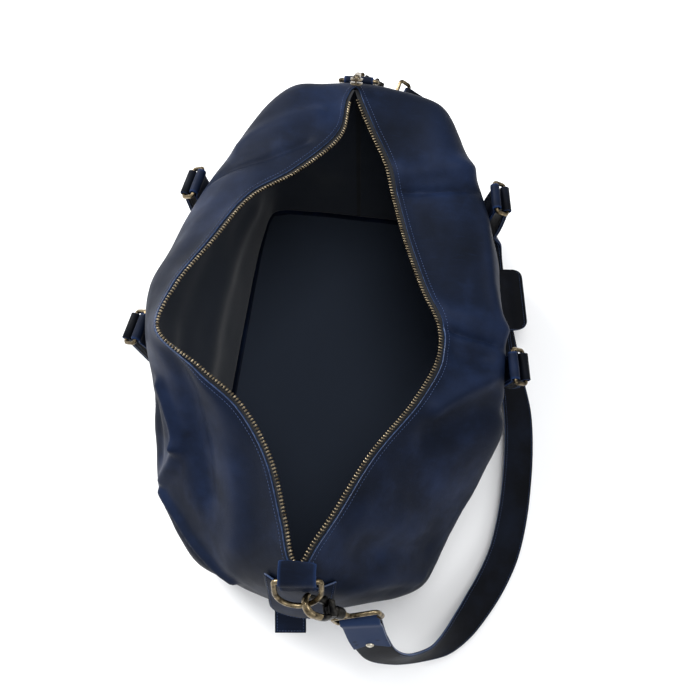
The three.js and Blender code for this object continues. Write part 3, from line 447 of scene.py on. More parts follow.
# %% The stations, in millimetres
STATIONS = [
    ((0, -264), (0, -282, 200), (-1, -257, 267), 27),
    ((-92, -264), (-66, -275, 165), (-8, -250, 270), 14),
    ((-144, -252), (-140, -246, 118), (-20, -214, 278), 12),
    ((-150, -208), (-188, -198, 104), (-41, -160, 290), 12),
    ((-150, -145), (-200, -140, 134), (-76, -113, 300), 12),
    ((-150, -85), (-205, -82, 172), (-122, -82, 306), 10),
    ((-150, -30), (-212, -28, 213), (-174, -46, 310), 6),
    ((-150, 30), (-217, 26, 228), (-166, 4, 308), 4),
    ((-150, 95), (-202, 84, 229), (-138, 66, 299), 6),
    ((-150, 160), (-183, 148, 231), (-108, 131, 286), 8),
    ((-148, 215), (-154, 215, 233), (-62, 176, 275), 8),
    ((-138, 262), (-98, 316, 236), (-20, 236, 264), 2),
    ((-72, 272), (-56, 325, 236), (-17, 284, 262), 2),
    ((0, 272), (-12, 330, 236), (-13, 306, 261), 4),
    ((72, 272), (34, 328, 236), (-8, 290, 259), 2),
    ((138, 262), (92, 312, 234), (10, 256, 251), 2),
    ((148, 215), (128, 252, 230), (34, 216, 240), 8),
    ((150, 160), (152, 200, 225), (46, 182, 232), 10),
    ((150, 95), (175, 128, 222), (66, 124, 235), 14),
    ((150, 55), (184, 64, 220), (92, 62, 240), 14),
    ((150, 15), (193, 14, 217), (115, 18, 242), 14),
    ((150, -25), (197, -26, 205), (118, -18, 244), 12),
    ((150, -80), (206, -74, 172), (96, -74, 250), 10),
    ((150, -145), (188, -128, 140), (56, -139, 262), 10),
    ((150, -208), (162, -188, 112), (25, -207, 269), 8),
    ((144, -252), (124, -244, 126), (10, -236, 270), 12),
    ((92, -264), (58, -276, 170), (4, -251, 269), 14),
]
COUNT = len(STATIONS)
REAR_SEAM = 13
LEATHER = 2.4
SOFT_GAP = 1.4
PANEL_FOOT = 20
BASE_RIM = 44
TAPE_SHOWN = 8
CHAIN_WIDE = 4.2


def belly_point(base, fold, belly):
    """The wall's middle, pushed out from the line between base and fold."""
    middle = Vector(((base[0] + fold[0]) / 2, (base[1] + fold[1]) / 2, 0))
    return [*(middle + middle.normalized() * belly).xy, fold[2] / 2]


RINGS = [
    [[*base, 0] for base, fold, mouth, belly in STATIONS],
    [belly_point(base, fold, belly) for base, fold, mouth, belly in STATIONS],
    [fold for base, fold, mouth, belly in STATIONS],
    [mouth for base, fold, mouth, belly in STATIONS],
]
columns = {}


def column(station):
    """The curve up the bag at a station: its points, and the distance run at each."""
    key = round(station % COUNT, 5)
    if key not in columns:
        four = [smooth_curve(ring, [key / COUNT], closed=True)[0] for ring in RINGS]
        line = smooth_curve(four, np.linspace(0, 1, 121))
        run = np.concatenate([[0], np.cumsum(np.linalg.norm(np.diff(line, axis=0), axis=1))])
        columns[key] = (line, run)
    return columns[key]


def height_of(station):
    """How long the column is, from the base to the zip teeth."""
    return column(station)[1][-1]


def on_skin(station, distances):
    """Points on the outer surface at distances up a column."""
    line, run = column(station)
    return np.stack([np.interp(distances, run, line[:, k]) for k in range(3)], axis=-1)


def outward(station, distances):
    """The directions that point out of the surface there."""
    tall = height_of(station)
    low = np.clip(distances, 3, tall - 3)
    up = on_skin(station, low + 3) - on_skin(station, low - 3)
    ahead, behind = station + 0.15, station - 0.15
    along = on_skin(ahead, low / tall * height_of(ahead)) - on_skin(behind, low / tall * height_of(behind))
    normal = np.cross(up, along)
    return normal / np.linalg.norm(normal, axis=-1, keepdims=True)


def at_height(station, height):
    """The distance up a column at which it first reaches a height."""
    line, run = column(station)
    return float(np.interp(height, np.maximum.accumulate(line[:, 2]), run))


mouth_round = sum(
    np.linalg.norm(on_skin(s + 0.1, height_of(s + 0.1)) - on_skin(s, height_of(s)))
    for s in np.arange(0, COUNT, 0.1)
)
print("round the mouth, in millimetres:", round(mouth_round))

# %% [markdown]
# ## Where the leather folds
# Soft leather falls in a few long folds between the points that hold it. Each one here is a line
# of (station, share of the column's height) with a height, positive where it stands up as a
# ridge, and a width. Crisp ones are creases. A little slow unevenness is added everywhere.
# Moving a fine loft this way was chosen over a cloth simulation, because a simulated wall moves
# away from the loops and rivets that are sewn to it.

# %% Folds
FOLDS = [
    ("rear right crease", -6, 5, [(16.9, 1.0), (17.0, 0.86), (17.0, 0.74), (16.95, 0.62)]),
    ("behind that crease", 5, 13, [(16.3, 0.97), (16.4, 0.86), (16.5, 0.7)]),
    ("right shoulder", 5, 22, [(15.2, 0.74), (15.9, 0.78), (16.4, 0.74)]),
    ("right outer edge", 4, 9, [(17.3, 0.68), (18.2, 0.71), (19.2, 0.73), (19.9, 0.71)]),
    ("front right crease", -7, 5, [(19.95, 1.0), (20.1, 0.88), (20.1, 0.78), (20.15, 0.66)]),
    ("over that crease", 4, 12, [(19.5, 0.94), (19.6, 0.82), (19.7, 0.72)]),
    ("hollow in front of it", -9, 16, [(20.7, 0.97), (20.7, 0.88), (20.6, 0.78)]),
    ("roll in front of the hollow", 10, 12, [(22.0, 0.9), (21.5, 0.84), (21.1, 0.77), (20.7, 0.68)]),
    ("second hollow", -8, 16, [(22.5, 0.84), (22.0, 0.74), (21.5, 0.62)]),
    ("front right flank", 5, 18, [(23.9, 0.88), (24.1, 0.72), (24.3, 0.56)]),
    ("front right dip", -6, 16, [(24.9, 0.78), (24.7, 0.6), (24.5, 0.42)]),
    ("front right fold", 5, 12, [(25.6, 0.7), (25.3, 0.5), (25.0, 0.34)]),
    ("rear left crease", -5, 5, [(9.3, 0.72), (9.7, 0.8), (10.1, 0.87), (10.5, 0.92)]),
    ("behind the rear left crease", 5, 14, [(10.1, 0.72), (10.5, 0.8), (10.9, 0.87)]),
    ("left top", 3, 20, [(8.0, 0.86), (8.8, 0.86), (9.5, 0.9)]),
    ("left hollow", -9, 20, [(5.4, 0.9), (4.7, 0.82), (4.1, 0.75), (3.4, 0.69), (2.8, 0.64)]),
    ("left roll by the zip", 5, 24, [(4.7, 0.96), (3.9, 0.9), (3.2, 0.83), (2.4, 0.78), (1.7, 0.72)]),
    ("left outer ridge", 7, 8, [(5.0, 0.68), (4.3, 0.64), (3.75, 0.6)]),
    ("left facet", 7, 8, [(3.75, 0.6), (3.5, 0.52), (3.3, 0.42)]),
    ("left facet hollow", -6, 12, [(4.7, 0.54), (4.2, 0.5), (3.8, 0.44)]),
    ("left corner", 7, 7, [(3.1, 0.38), (2.3, 0.41), (1.7, 0.45), (1.1, 0.48)]),
    ("under the left corner", -7, 11, [(2.6, 0.3), (1.9, 0.34), (1.2, 0.38)]),
    ("front left fold", 3, 22, [(1.7, 0.66), (1.4, 0.6), (1.2, 0.56)]),
    ("left wall slump", -6, 20, [(4.6, 0.26), (6.0, 0.24), (8.0, 0.27), (10.0, 0.24)]),
    ("left wall roll", 4, 22, [(5.4, 0.42), (6.8, 0.44), (8.4, 0.42)]),
    ("right wall slump", -6, 20, [(17.0, 0.25), (19.0, 0.28), (21.0, 0.25), (22.6, 0.24)]),
    ("right wall roll", 4, 22, [(17.8, 0.43), (19.4, 0.45), (21.4, 0.42)]),
    ("rear left dent", -7, 26, [(11.0, 0.56), (11.8, 0.48), (12.2, 0.34)]),
    ("rear right dent", -5, 26, [(15.4, 0.56), (14.7, 0.5), (14.2, 0.34)]),
]
STILL = [(-191, 176, 200), (-223, -16, 190), (173, 201, 196), (208, -8, 186)]
STILL_ENDS = [(0, -290, 200), (-12, 345, 190)]
UNEVEN = [(1.5, 48), (0.35, 17)]  # height and width of the slow unevenness


def distance_to_line(points, line):
    """How far each point is from a run of straight pieces."""
    nearest = np.full(len(points), 1e9)
    for a, b in zip(line, line[1:]):
        step = b - a
        share = np.clip(((points - a) @ step) / (step @ step), 0, 1)
        nearest = np.minimum(nearest, np.linalg.norm(points - (a + share[:, None] * step), axis=1))
    return nearest


fold_lines = []
for _, high, wide, stops in FOLDS:
    through = smooth_curve(stops, np.linspace(0, 1, 13))
    line = np.array([on_skin(s, min(share, 1) * height_of(s)) for s, share in through])
    fold_lines.append((high, wide, line))


def folded(points):
    """How far the leather stands out of the smooth skin at each point, in millimetres."""
    moved = np.zeros(len(points))
    for high, wide, line in fold_lines:
        near = distance_to_line(points, line)
        moved += high * np.exp(-((near / wide) ** (1.3 if wide < 6 else 2)))
    for high, across in UNEVEN:
        moved += np.array([high * noise.noise(Vector(p) / across) for p in points])
    hold = np.ones(len(points))
    for place in STILL:
        hold *= eased((np.linalg.norm(points - np.array(place), axis=1) - 26) / 30)
    for place in STILL_ENDS:
        hold *= eased((np.linalg.norm(points - np.array(place), axis=1) - 58) / 40)
    hold *= eased((points[:, 2] - 8) / 40)
    return moved * hold


def skin(stations, levels, depth):
    """Points at depths under the folded skin: rows of stations, each with its distances up."""
    rows = []
    for station, distances in zip(stations, levels):
        distances = np.asarray(distances, float)
        points = on_skin(station, distances)
        near_mouth = eased((height_of(station) - distances) / 22)
        inwards = np.asarray(depth(distances) if callable(depth) else depth, float)
        lift = folded(points) * near_mouth - inwards
        rows.append(points + outward(station, distances) * lift[:, None])
    return np.array(rows)


print("folds:", len(fold_lines))

# %% [markdown]
# ## A loft from a grid
# A grid made by the operator is moved vertex by vertex onto rows of points. Its UV map is kept in
# metres, so that weaves have their real size on it.

# %% Lofted grids
def lofted(rows, closed=False):
    """A grid moved onto rows of points. If closed, the last row joins the first."""
    rows = np.asarray(rows, float)
    if closed:
        rows = np.concatenate([rows, rows[:1]])
    many, across = rows.shape[:2]
    bm = bmesh.new()
    uv = bm.loops.layers.uv.new("UVMap")
    bmesh.ops.create_grid(bm, x_segments=across - 1, y_segments=many - 1, size=0.5, calc_uvs=True)
    long = np.linalg.norm(np.diff(rows[:, across // 2], axis=0), axis=1).sum() * MM
    wide = np.linalg.norm(np.diff(rows[many // 2], axis=0), axis=1).sum() * MM
    for face in bm.faces:
        for loop in face.loops:
            u, v = loop.vert.co.x + 0.5, loop.vert.co.y + 0.5
            loop[uv].uv = (v * long, u * wide)
    for vert in bm.verts:
        row, column_at = round((vert.co.y + 0.5) * (many - 1)), round((vert.co.x + 0.5) * (across - 1))
        vert.co = rows[row, column_at]
    if closed:
        bmesh.ops.remove_doubles(bm, verts=bm.verts[:], dist=0.001)
    return bm


# %% [markdown]
# ## The side panels
# Each panel is one piece of 2.4 mm leather from the front seam round to the rear seam. Its lower
# edge laps over the turned-up base, and its upper edge is turned in along the zip. The outer
# surface is lofted finely, to hold its creases. Solidify gives the thickness inwards and Bevel
# rounds the edges.

# %% Side panels
PANEL_STEPS = 20
PANEL_LEVELS = 105
SEAM_GAP = 0.012
RIDGE_PALE_AND_HIGHLIGHT = 14  # a ridge this high, in millimetres, is painted as pale as the leather gets: pull-up paling and painted highlight


def half_way_round(start, end):
    """The stations of one panel."""
    return np.linspace(start + SEAM_GAP, end - SEAM_GAP, (end - start) * PANEL_STEPS + 1)


def panel_levels(station):
    low, high = at_height(station, PANEL_FOOT), height_of(station) - TAPE_SHOWN
    return np.linspace(low, high, PANEL_LEVELS)


def mark(made, name, values):
    """Stores a value between 0 and 1 at each vertex, for the leather's colour."""
    layer = made.data.attributes.new(name, "FLOAT", "POINT")
    layer.data.foreach_set("value", np.clip(values, 0, 1).astype(np.float32))


sides = {"left": half_way_round(0, REAR_SEAM), "right": half_way_round(REAR_SEAM, COUNT)}
for side, stations in sides.items():
    rows = skin(stations, [panel_levels(s) for s in stations], 0)
    bm = lofted(rows)
    lifts = folded(np.array([v.co[:] for v in bm.verts]))
    made = keep(
        bm, f"{side}_panel", [navy, cut_edge], "bag", [f"{side}_side_panel"], 180, False
    )
    # Ridges are painted paler: partly pull-up paling, partly a painted highlight.
    mark(made, "ridge", np.minimum(lifts / RIDGE_PALE_AND_HIGHLIGHT, 0.75))
    finish_with(made, "SOLIDIFY", thickness=LEATHER * MM, offset=-1, material_offset_rim=1)
    finish_with(made, "BEVEL", width=0.6 * MM, segments=2, limit_method="ANGLE", angle_limit=math.radians(60))

# %% [markdown]
# ## Stitching
# Each stitch is a small drop of thread that dips into the leather at both ends. They are 3.4 mm
# apart. There are hundreds, so each has only twenty faces.

# %% Stitches
def stitch_row(path, normals, pitch=3.4, long=2.5, thick=0.75, lift=0.1):
    """A bmesh of stitches along a path."""
    path, normals = np.asarray(path, float), np.asarray(normals, float)
    run = np.concatenate([[0], np.cumsum(np.linalg.norm(np.diff(path, axis=0), axis=1))])
    places = np.arange(pitch / 2, run[-1], pitch)
    bm = bmesh.new()
    at = np.stack([np.interp(places, run, path[:, k]) for k in range(3)], axis=-1)
    ahead = np.stack([np.interp(places + 0.5, run, path[:, k]) for k in range(3)], axis=-1)
    behind = np.stack([np.interp(places - 0.5, run, path[:, k]) for k in range(3)], axis=-1)
    up = np.stack([np.interp(places, run, normals[:, k]) for k in range(3)], axis=-1)
    size = Matrix.Diagonal((long / 2, thick / 2, thick / 2, 1))
    for point, tangent, normal in zip(at, ahead - behind, up):
        raised = Vector(point) + Vector(normal).normalized() * lift
        frame_at = pointing(raised, normal, tangent)
        bmesh.ops.create_icosphere(bm, subdivisions=1, radius=1, matrix=frame_at @ size)
    return bm


def on_panel(stations, from_top=None, height=None, lift=0.0):
    """A line on the folded skin, at a distance below the zip teeth or at a height."""
    levels = [
        [height_of(s) - from_top] if from_top is not None else [at_height(s, height)] for s in stations
    ]
    points = skin(stations, levels, -lift)[:, 0]
    normals = np.array([outward(s, np.array(one))[0] for s, one in zip(stations, levels)])
    return points, normals


EDGE_TO_STITCH = 5
for side, stations in sides.items():
    fine = np.linspace(stations[0], stations[-1], 400)
    along_zip = stitch_row(*on_panel(fine, from_top=TAPE_SHOWN + EDGE_TO_STITCH))
    along_foot = stitch_row(*on_panel(fine, height=PANEL_FOOT + 5))
    joined(along_zip, along_foot)
    keep(along_zip, f"{side}_panel_stitching", [thread], "bag", outwards=False, sharp=180)

# %% [markdown]
# ## The base
# One sheet of leather is turned up all round like a tray, and the panels are sewn over its rim.
# It is lofted from the rim down and in under the bag to the middle, where the rows meet in a pole
# that is merged.

# %% Base tray
around = np.arange(0, COUNT, 1 / 6)
RIM_DEPTH = LEATHER + SOFT_GAP
SOLE_ROWS = 6


def tray_rows():
    """From the middle of the sole, out to its corner and up to the rim."""
    rows = []
    for station in around:
        wall = skin([station], [[at_height(station, h) for h in (3, 6, 14, 24, 34, BASE_RIM)]], RIM_DEPTH)[0]
        foot = wall[0] * (1, 1, 0)
        corner = foot * (0.985, 0.992, 0) + (0, 0, 0.1)
        sole = [corner * (share, share, 0) + (0, 0, 0.1) for share in np.linspace(0, 0.97, SOLE_ROWS)]
        rows.append([*sole, corner, *wall])
    return rows


tray = lofted(tray_rows(), closed=True)
base = keep(tray, "base_tray", [navy, cut_edge], "bag", ["base_panel"], 180, False)
finish_with(base, "SOLIDIFY", thickness=LEATHER * MM, offset=-1, material_offset_rim=1)
rounded(base)

# %% [markdown]
# ## The lining
# Dark twill, sewn to the zip tape above and to a floor piece below. It hangs just inside the
# leather and follows its folds, and it has an upright seam at each end.

# %% Lining
LINING_DEPTH = 7.4
LINING_TOP = 12
LINING_LEVELS = 40


def lining_depth(tall):
    """Close to the leather near the zip, and a little further in down the wall."""
    return lambda distances: 3.4 + (LINING_DEPTH - 3.4) * eased((tall - LINING_TOP - distances) / 30)


rows = []
for station in around:
    tall = height_of(station)
    levels = np.linspace(at_height(station, 9), tall - LINING_TOP, LINING_LEVELS)
    rows.append(skin([station], [levels], lining_depth(tall))[0])
lining = lofted(rows, closed=True)
bmesh.ops.reverse_faces(lining, faces=lining.faces[:])
lining = keep(lining, "twill_lining", [twill], "bag", ["lining_wall"], 180, False)
finish_with(lining, "SOLIDIFY", thickness=0.8 * MM, offset=-1)
rounded(lining)

seam = bmesh.new()
for station in (0, REAR_SEAM):
    tall = height_of(station)
    levels = np.linspace(at_height(station, 12), tall - LINING_TOP - 3, 60)
    points = skin([station], [levels], lambda d, tall=tall: lining_depth(tall)(d) + 1.2)[0]
    frames = frames_along([Vector(p) for p in points], Vector((1, 0, 0)))
    joined(seam, sweep(frames, [(-3, -0.4), (3, -0.4), (3, 0.3), (0.4, 0.9), (-0.4, 0.9), (-3, 0.3)]))
keep(seam, "lining_seams", [twill], "bag")

# %% [markdown]
# ## The zip
# A number 8 metal zip: the tapes are sewn behind the leather's turned edge, and each tape's
# inner cord carries brass teeth 3.5 mm apart. A tooth is a small block with its edges broken. All
# of a side's teeth are one piece.

# %% Zip tapes
TIP = {0: 0.4, REAR_SEAM: 0.9, COUNT: 0.4}
TOOTH_PITCH = 3.5
TOOTH_BODY, TOOTH_HEAD = 1.7, 2.2  # across a tooth, at its legs and at its tip
TAPE_DEPTH = LEATHER + 0.4


def zip_span(side, from_tip):
    """The stations along one side's teeth, between the tips."""
    start, end = (0, REAR_SEAM) if side == "left" else (REAR_SEAM, COUNT)
    return start + TIP[start] * from_tip, end - TIP[end] * from_tip


for side in sides:
    stations = np.linspace(*zip_span(side, 0.3), 150)
    levels = [height_of(s) - np.array([13, 10.5, 8, 6.5, 5, 3.6, 3]) for s in stations]
    tape = keep(
        lofted(skin(stations, levels, TAPE_DEPTH)),
        f"zip_tape_{side}_woven", [tape_cloth], "bag", [f"zip_tape_{side}"], 180, False,
    )
    finish_with(tape, "SOLIDIFY", thickness=0.9 * MM, offset=-1)
    rounded(tape)

# %% Zip teeth
def teeth(side):
    """One side's teeth, each a block turned to its place on the mouth."""
    fine = np.linspace(*zip_span(side, 1), 600)
    ends = np.array([on_skin(s, height_of(s)) for s in fine])
    run = np.concatenate([[0], np.cumsum(np.linalg.norm(np.diff(ends, axis=0), axis=1))])
    bm = bmesh.new()
    for place in np.arange(TOOTH_PITCH / 2, run[-1], TOOTH_PITCH):
        station = float(np.interp(place, run, fine))
        tall = height_of(station)
        back, tip = on_skin(station, tall - CHAIN_WIDE), on_skin(station, tall)
        normal = outward(station, np.array([tall - 3.0]))[0]
        middle = Vector((back + tip) / 2) - Vector(normal) * 3.2
        block = pointing(middle, normal, tip - back) @ Matrix.Diagonal((CHAIN_WIDE, TOOTH_BODY, 3.2, 1))
        bmesh.ops.create_cube(bm, size=1, matrix=block)
        head = pointing(middle + Vector(tip - back) * 0.36, normal, tip - back)
        head = head @ Matrix.Diagonal((1.4, TOOTH_HEAD, 1.7, 1))
        bmesh.ops.create_cube(bm, size=1, matrix=head)
    bmesh.ops.bevel(bm, geom=bm.edges[:], offset=0.35, affect="EDGES", segments=1, profile=0.5, material=-1)
    return bm


for side in sides:
    keep(
        teeth(side), f"zip_teeth_{side}_row", [zip_brass], "bag",
        [f"zip_teeth_{side}"], 50, False,
    )

# %% [markdown]
# ## Slider, pull and stop
# The slider is two plates joined by a post, with a bridge over the top for the pull. It is parked
# at the rear tip, tilted down over the end, and the pull hangs from it. At the front tip a metal
# stop joins the two rows.

# %% Slider, pull and stop
SLIDER_AT = Vector((-12, 312, 264))
SLIDER_TILT = math.radians(-40)
PULL_RISE = 4.4


def plate(outline, thick, bevel):
    """A flat plate cut to an outline in X and Y, with its edges rounded."""
    bm = bmesh.new()
    verts = [bm.verts.new((x, y, 0)) for x, y in outline]
    face = bm.faces.new(verts)
    up = bmesh.ops.extrude_face_region(bm, geom=[face])["geom"]
    bmesh.ops.translate(bm, vec=(0, 0, thick), verts=[g for g in up if isinstance(g, BMVert)])
    bmesh.ops.recalc_face_normals(bm, faces=bm.faces[:])
    long_edges = [e for e in bm.edges if len(e.link_faces) == 2]
    bmesh.ops.bevel(bm, geom=long_edges, offset=bevel, affect="EDGES", segments=2, profile=0.5, material=-1)
    return bm


def moved(bm, matrix):
    """The same bmesh, in another place."""
    bmesh.ops.transform(bm, matrix=matrix, verts=bm.verts[:])
    return bm


def slider_plate():
    """A slider's plate: wide shoulders, narrowing to the back."""
    return plate([(-6, -6.5), (6, -6.5), (7.5, 1), (7.5, 6.5), (-7.5, 6.5), (-7.5, 1)], 2.2, 0.6)


slider_frame = Matrix.Translation(SLIDER_AT) @ Matrix.Rotation(SLIDER_TILT, 4, "X")
slider = moved(slider_plate(), Matrix.Translation((0, 0, 1.4)))
joined(slider, moved(slider_plate(), Matrix.Translation((0, 0, -3.6))))
post = plate([(-1.2, -5.9), (1.2, -5.9), (1.2, -0.9), (-1.2, -0.9)], 5, 0.3)
joined(slider, moved(post, Matrix.Translation((0, 0, -2.5))))
arch = [Vector((0, 4.1 * math.cos(t), 3.3 + 4.1 * math.sin(t))) for t in np.linspace(-0.1, math.pi + 0.1, 14)]
joined(slider, sweep(frames_along(arch, Vector((1, 0, 0))), band(3, 1.7, 0.4)[0]))
keep(moved(slider, slider_frame), "slider_body", [zip_brass], "bag", ["zip_slider"])

pull = bmesh.new()
right_rim = [(4.2, -0.7), (4.1, 4), (3.3, 11), (2.9, 23), (1.6, 25.6)]
rim = [(-4.2, -0.7)] + right_rim + [(-x, y) for x, y in right_rim[:0:-1]]
around_slot = [Vector((x, y, PULL_RISE + 0.7)) for x, y in rim]
joined(pull, sweep(frames_along(around_slot, Vector((0, 0, 1)), closed=True), disc(0.85, 8), closed=True))
tongue = [(-3.2, 8.6), (3.2, 8.6), (2.6, 23), (1.4, 25.2), (-1.4, 25.2), (-2.6, 23)]
joined(pull, moved(plate(tongue, 1.0, 0.25), Matrix.Translation((0, 0, PULL_RISE + 0.2))))
keep(moved(pull, slider_frame), "pull_tab", [zip_brass], "pull", ["zip_pull"])

stop = plate([(-4.5, -2), (4.5, -2), (4.5, 2), (-4.5, 2)], 4, 0.7)
tilt = Matrix.Translation((-1.2, -257.8, 268.6)) @ Matrix.Rotation(math.radians(-12), 4, "X")
stop = moved(stop, tilt @ Matrix.Translation((0, 0, -2)))
keep(stop, "front_stop", [zip_brass], "bag", ["zip_front_stop"])

# %% [markdown]
# ## Rivets
# Domed caps on a shank. Half of the cap's profile is spun round its axis.

# %% Rivet shape
def rivet(place, axis, long, radius=4.6):
    """A two-headed rivet along an axis."""
    profile = [(0, 1.9), (1.6, 1.75), (3.1, 1.3), (4.2, 0.6)]
    profile += [(radius, 0.0), (4.2, -0.2), (1.6, -0.2), (1.6, -long / 2)]
    bm = bmesh.new()
    for side in (1, -1):
        verts = [bm.verts.new((r, 0, side * (z + long / 2))) for r, z in profile]
        edges = [bm.edges.new(pair) for pair in zip(verts, verts[1:])]
        bmesh.ops.spin(
            bm, geom=verts + edges, cent=(0, 0, 0), axis=(0, 0, 1),
            angle=2 * math.pi, steps=20, use_merge=True,
            use_duplicate=False, dvec=(0, 0, 0),
        )
    bmesh.ops.remove_doubles(bm, verts=bm.verts[:], dist=0.01)
    return moved(bm, pointing(place, axis))


def fold_path(half_gap, radius, first_tail, second_tail, steps=14):
    """Side view of a band folded round a bar at the origin: its legs hang down, half a gap apart."""
    turn = math.acos(min(half_gap / radius, 1)) if half_gap < radius else 0
    neck = radius * 1.75
    low = math.pi + 0.55 * turn
    points = [(-half_gap, -first_tail), (-half_gap, -(first_tail + neck) / 2), (-half_gap, -neck)]
    points += [(radius * math.cos(t), radius * math.sin(t)) for t in np.linspace(low, math.pi - low, steps)]
    points += [(half_gap, -neck), (half_gap, -(second_tail + neck) / 2), (half_gap, -second_tail)]
    return points


print("rivet heads are", 2 * 4.6, "mm across")

# %% [markdown]
# ## Handles and what holds them
# On each wall two leather loops, folded round a ring and riveted through, hold a handle. The
# handle is one long band folded round both outer ring bars, so it has two layers, and it turns on
# its way: flat against the wall at its ends and flat to the hand at the grip. Ring, handle and
# handle rivets swing together about the line through the loops.

# %% Handle sizes and frames
HANDLE_WIDE = 32
HANDLE_DROP = 165
RING_REACH = 17
RING_DIP = math.radians(35)
RING_WIRE = 2.5
CHAPE_TAIL = 46
CHAPE_LEAN = math.radians(-6)
NECK = 6.6
U_BEND = 52
HANDLES = {
    "left": dict(rear=(-191, 176, 221), front=(-223, -16, 214), out=-1, lean=math.radians(2), skew=0),
    "right": dict(rear=(173, 201, 219), front=(208, -8, 208), out=1, lean=math.radians(4), skew=28),
}


def round_corners(corners, radius, first, second, centre, steps=5):
    """A rounded rectangle's outline: corners are (x, y, start angle) of its arcs' middles."""
    made = []
    for x, y, start in corners:
        for turn in np.linspace(start, start + math.pi / 2, steps):
            px, py = x + radius * math.cos(turn), y + radius * math.sin(turn)
            made.append(centre + first * px + second * py)
    return made


def stitched_edges(frames, inset, rise, **how):
    """Two rows of stitches, along both edges of a swept band."""
    rows = bmesh.new()
    for side in (-1, 1):
        path = [frame_at @ Vector((side * inset, rise, 0)) for frame_at in frames]
        normals = [frame_at.to_3x3() @ Vector((0, 1, 0)) for frame_at in frames]
        joined(rows, stitch_row(path, normals, **how))
    return rows


def folded_band(bar, width, face, up, half_gap, radius, tails, wide, thick):
    """A band folded round a bar. Its legs leave against up, and face is across its thickness."""
    path = [bar + face * x + up * y for x, y in fold_path(half_gap, radius, *tails)]
    fine = [Vector(p) for p in smooth_curve(path, np.linspace(0, 1, 44))]
    frames = frames_along(fine, width)
    outline, cut = band(wide, thick)
    return sweep(frames, outline, edges=cut), frames


handle_frames = {}
for side, of in HANDLES.items():
    far, near = Vector(of["rear"]), Vector(of["front"])
    along = (far - near).normalized()
    outwards = along.cross(Vector((0, 0, of["out"]))).normalized()
    up = (outwards.cross(along) * of["out"]).normalized()
    to_second = outwards * (RING_REACH * math.cos(RING_DIP)) - up * (RING_REACH * math.sin(RING_DIP))
    found = dict(far=far, near=near, along=along, outwards=outwards, up=up, second=to_second)
    handle_frames[side] = dict(of, **found)
    print(side, "handle: the rings are", round((far - near).length), "mm apart")

# %% Loops and rings
RING_HALF = (HANDLE_WIDE + 3) / 2 + RING_WIRE
CORNER = 3.4
for side, h in handle_frames.items():
    tail = h["outwards"] * math.sin(CHAPE_LEAN) - h["up"] * math.cos(CHAPE_LEAN)
    face = h["outwards"] * math.cos(CHAPE_LEAN) + h["up"] * math.sin(CHAPE_LEAN)
    for end, bar in (("rear", h["far"]), ("front", h["near"])):
        tails = (CHAPE_TAIL, CHAPE_TAIL)
        chape, frames = folded_band(bar, h["along"], face, -tail, 1.05, 4.7, tails, HANDLE_WIDE, 2.0)
        made = keep(chape, f"{side}_{end}_loop", [navy], "bag", [f"{side}_{end}_chape"], 60)
        rounded(made)
        shown = [f for f in frames if (f.translation - bar).dot(-tail) < -8]
        half = len(shown) // 2
        both = joined(stitched_edges(shown[:half], 12.8, 1.0), stitched_edges(shown[half:], 12.8, 1.0))
        keep(both, f"{side}_{end}_loop_stitching", [thread], "bag", outwards=False, sharp=180)
        keep(
            rivet(bar + tail * (CHAPE_TAIL * 0.75), h["outwards"], 5.8), f"{side}_{end}_loop_rivet",
            [cap_metal], "bag", [f"{side}_{end}_chape_rivet"],
        )
        reach = h["second"].normalized()
        corners = [
            (RING_HALF - CORNER, RING_REACH - CORNER, 0),
            (-RING_HALF + CORNER, RING_REACH - CORNER, math.pi / 2),
            (-RING_HALF + CORNER, CORNER, math.pi), (RING_HALF - CORNER, CORNER, 1.5 * math.pi),
        ]
        path = round_corners(corners, CORNER, h["along"], reach, bar)
        ring = sweep(frames_along(path, reach.cross(h["along"]), closed=True), disc(RING_WIRE), closed=True)
        body = f"{side}_carry_handle"
        keep(ring, f"{side}_{end}_ring_wire", [brass], body, [f"{side}_{end}_ring"], 80)

# %% Handles
LAYER = 2.4
ROLL = 4.7


def handle_line(h):
    """Centres and widths down from the front ring, across the grip and up to the rear ring."""
    rear_end, front_end = h["far"] + h["second"], h["near"] + h["second"]
    span = (rear_end - front_end).length
    hang = h["outwards"] * math.sin(h["lean"]) - h["up"] * math.cos(h["lean"])
    face = h["outwards"] * math.cos(h["lean"]) + h["up"] * math.sin(h["lean"])
    drop = HANDLE_DROP - RING_REACH * math.sin(RING_DIP)
    stops = [(0, down, 0) for down in np.linspace(NECK, drop - U_BEND, 16)]
    turns = np.linspace(0, math.pi / 2, 15)[1:]
    stops += [(U_BEND * (1 - math.cos(t)), drop - U_BEND + U_BEND * math.sin(t), t) for t in turns]
    stops += [(across, drop, math.pi / 2) for across in np.linspace(U_BEND, span - U_BEND, 9)[1:-1]]
    stops += [(span - x, down, math.pi - t) for x, down, t in reversed(stops[: 16 + 14])]
    centres, widths = [], []
    for across, down, turn in stops:
        slewed = across + h["skew"] * (down / drop) ** 2
        centres.append(front_end + h["along"] * slewed + hang * down)
        widths.append(h["along"] * math.cos(turn) + face * math.sin(turn))
    return centres, widths, hang, face, front_end, rear_end, drop


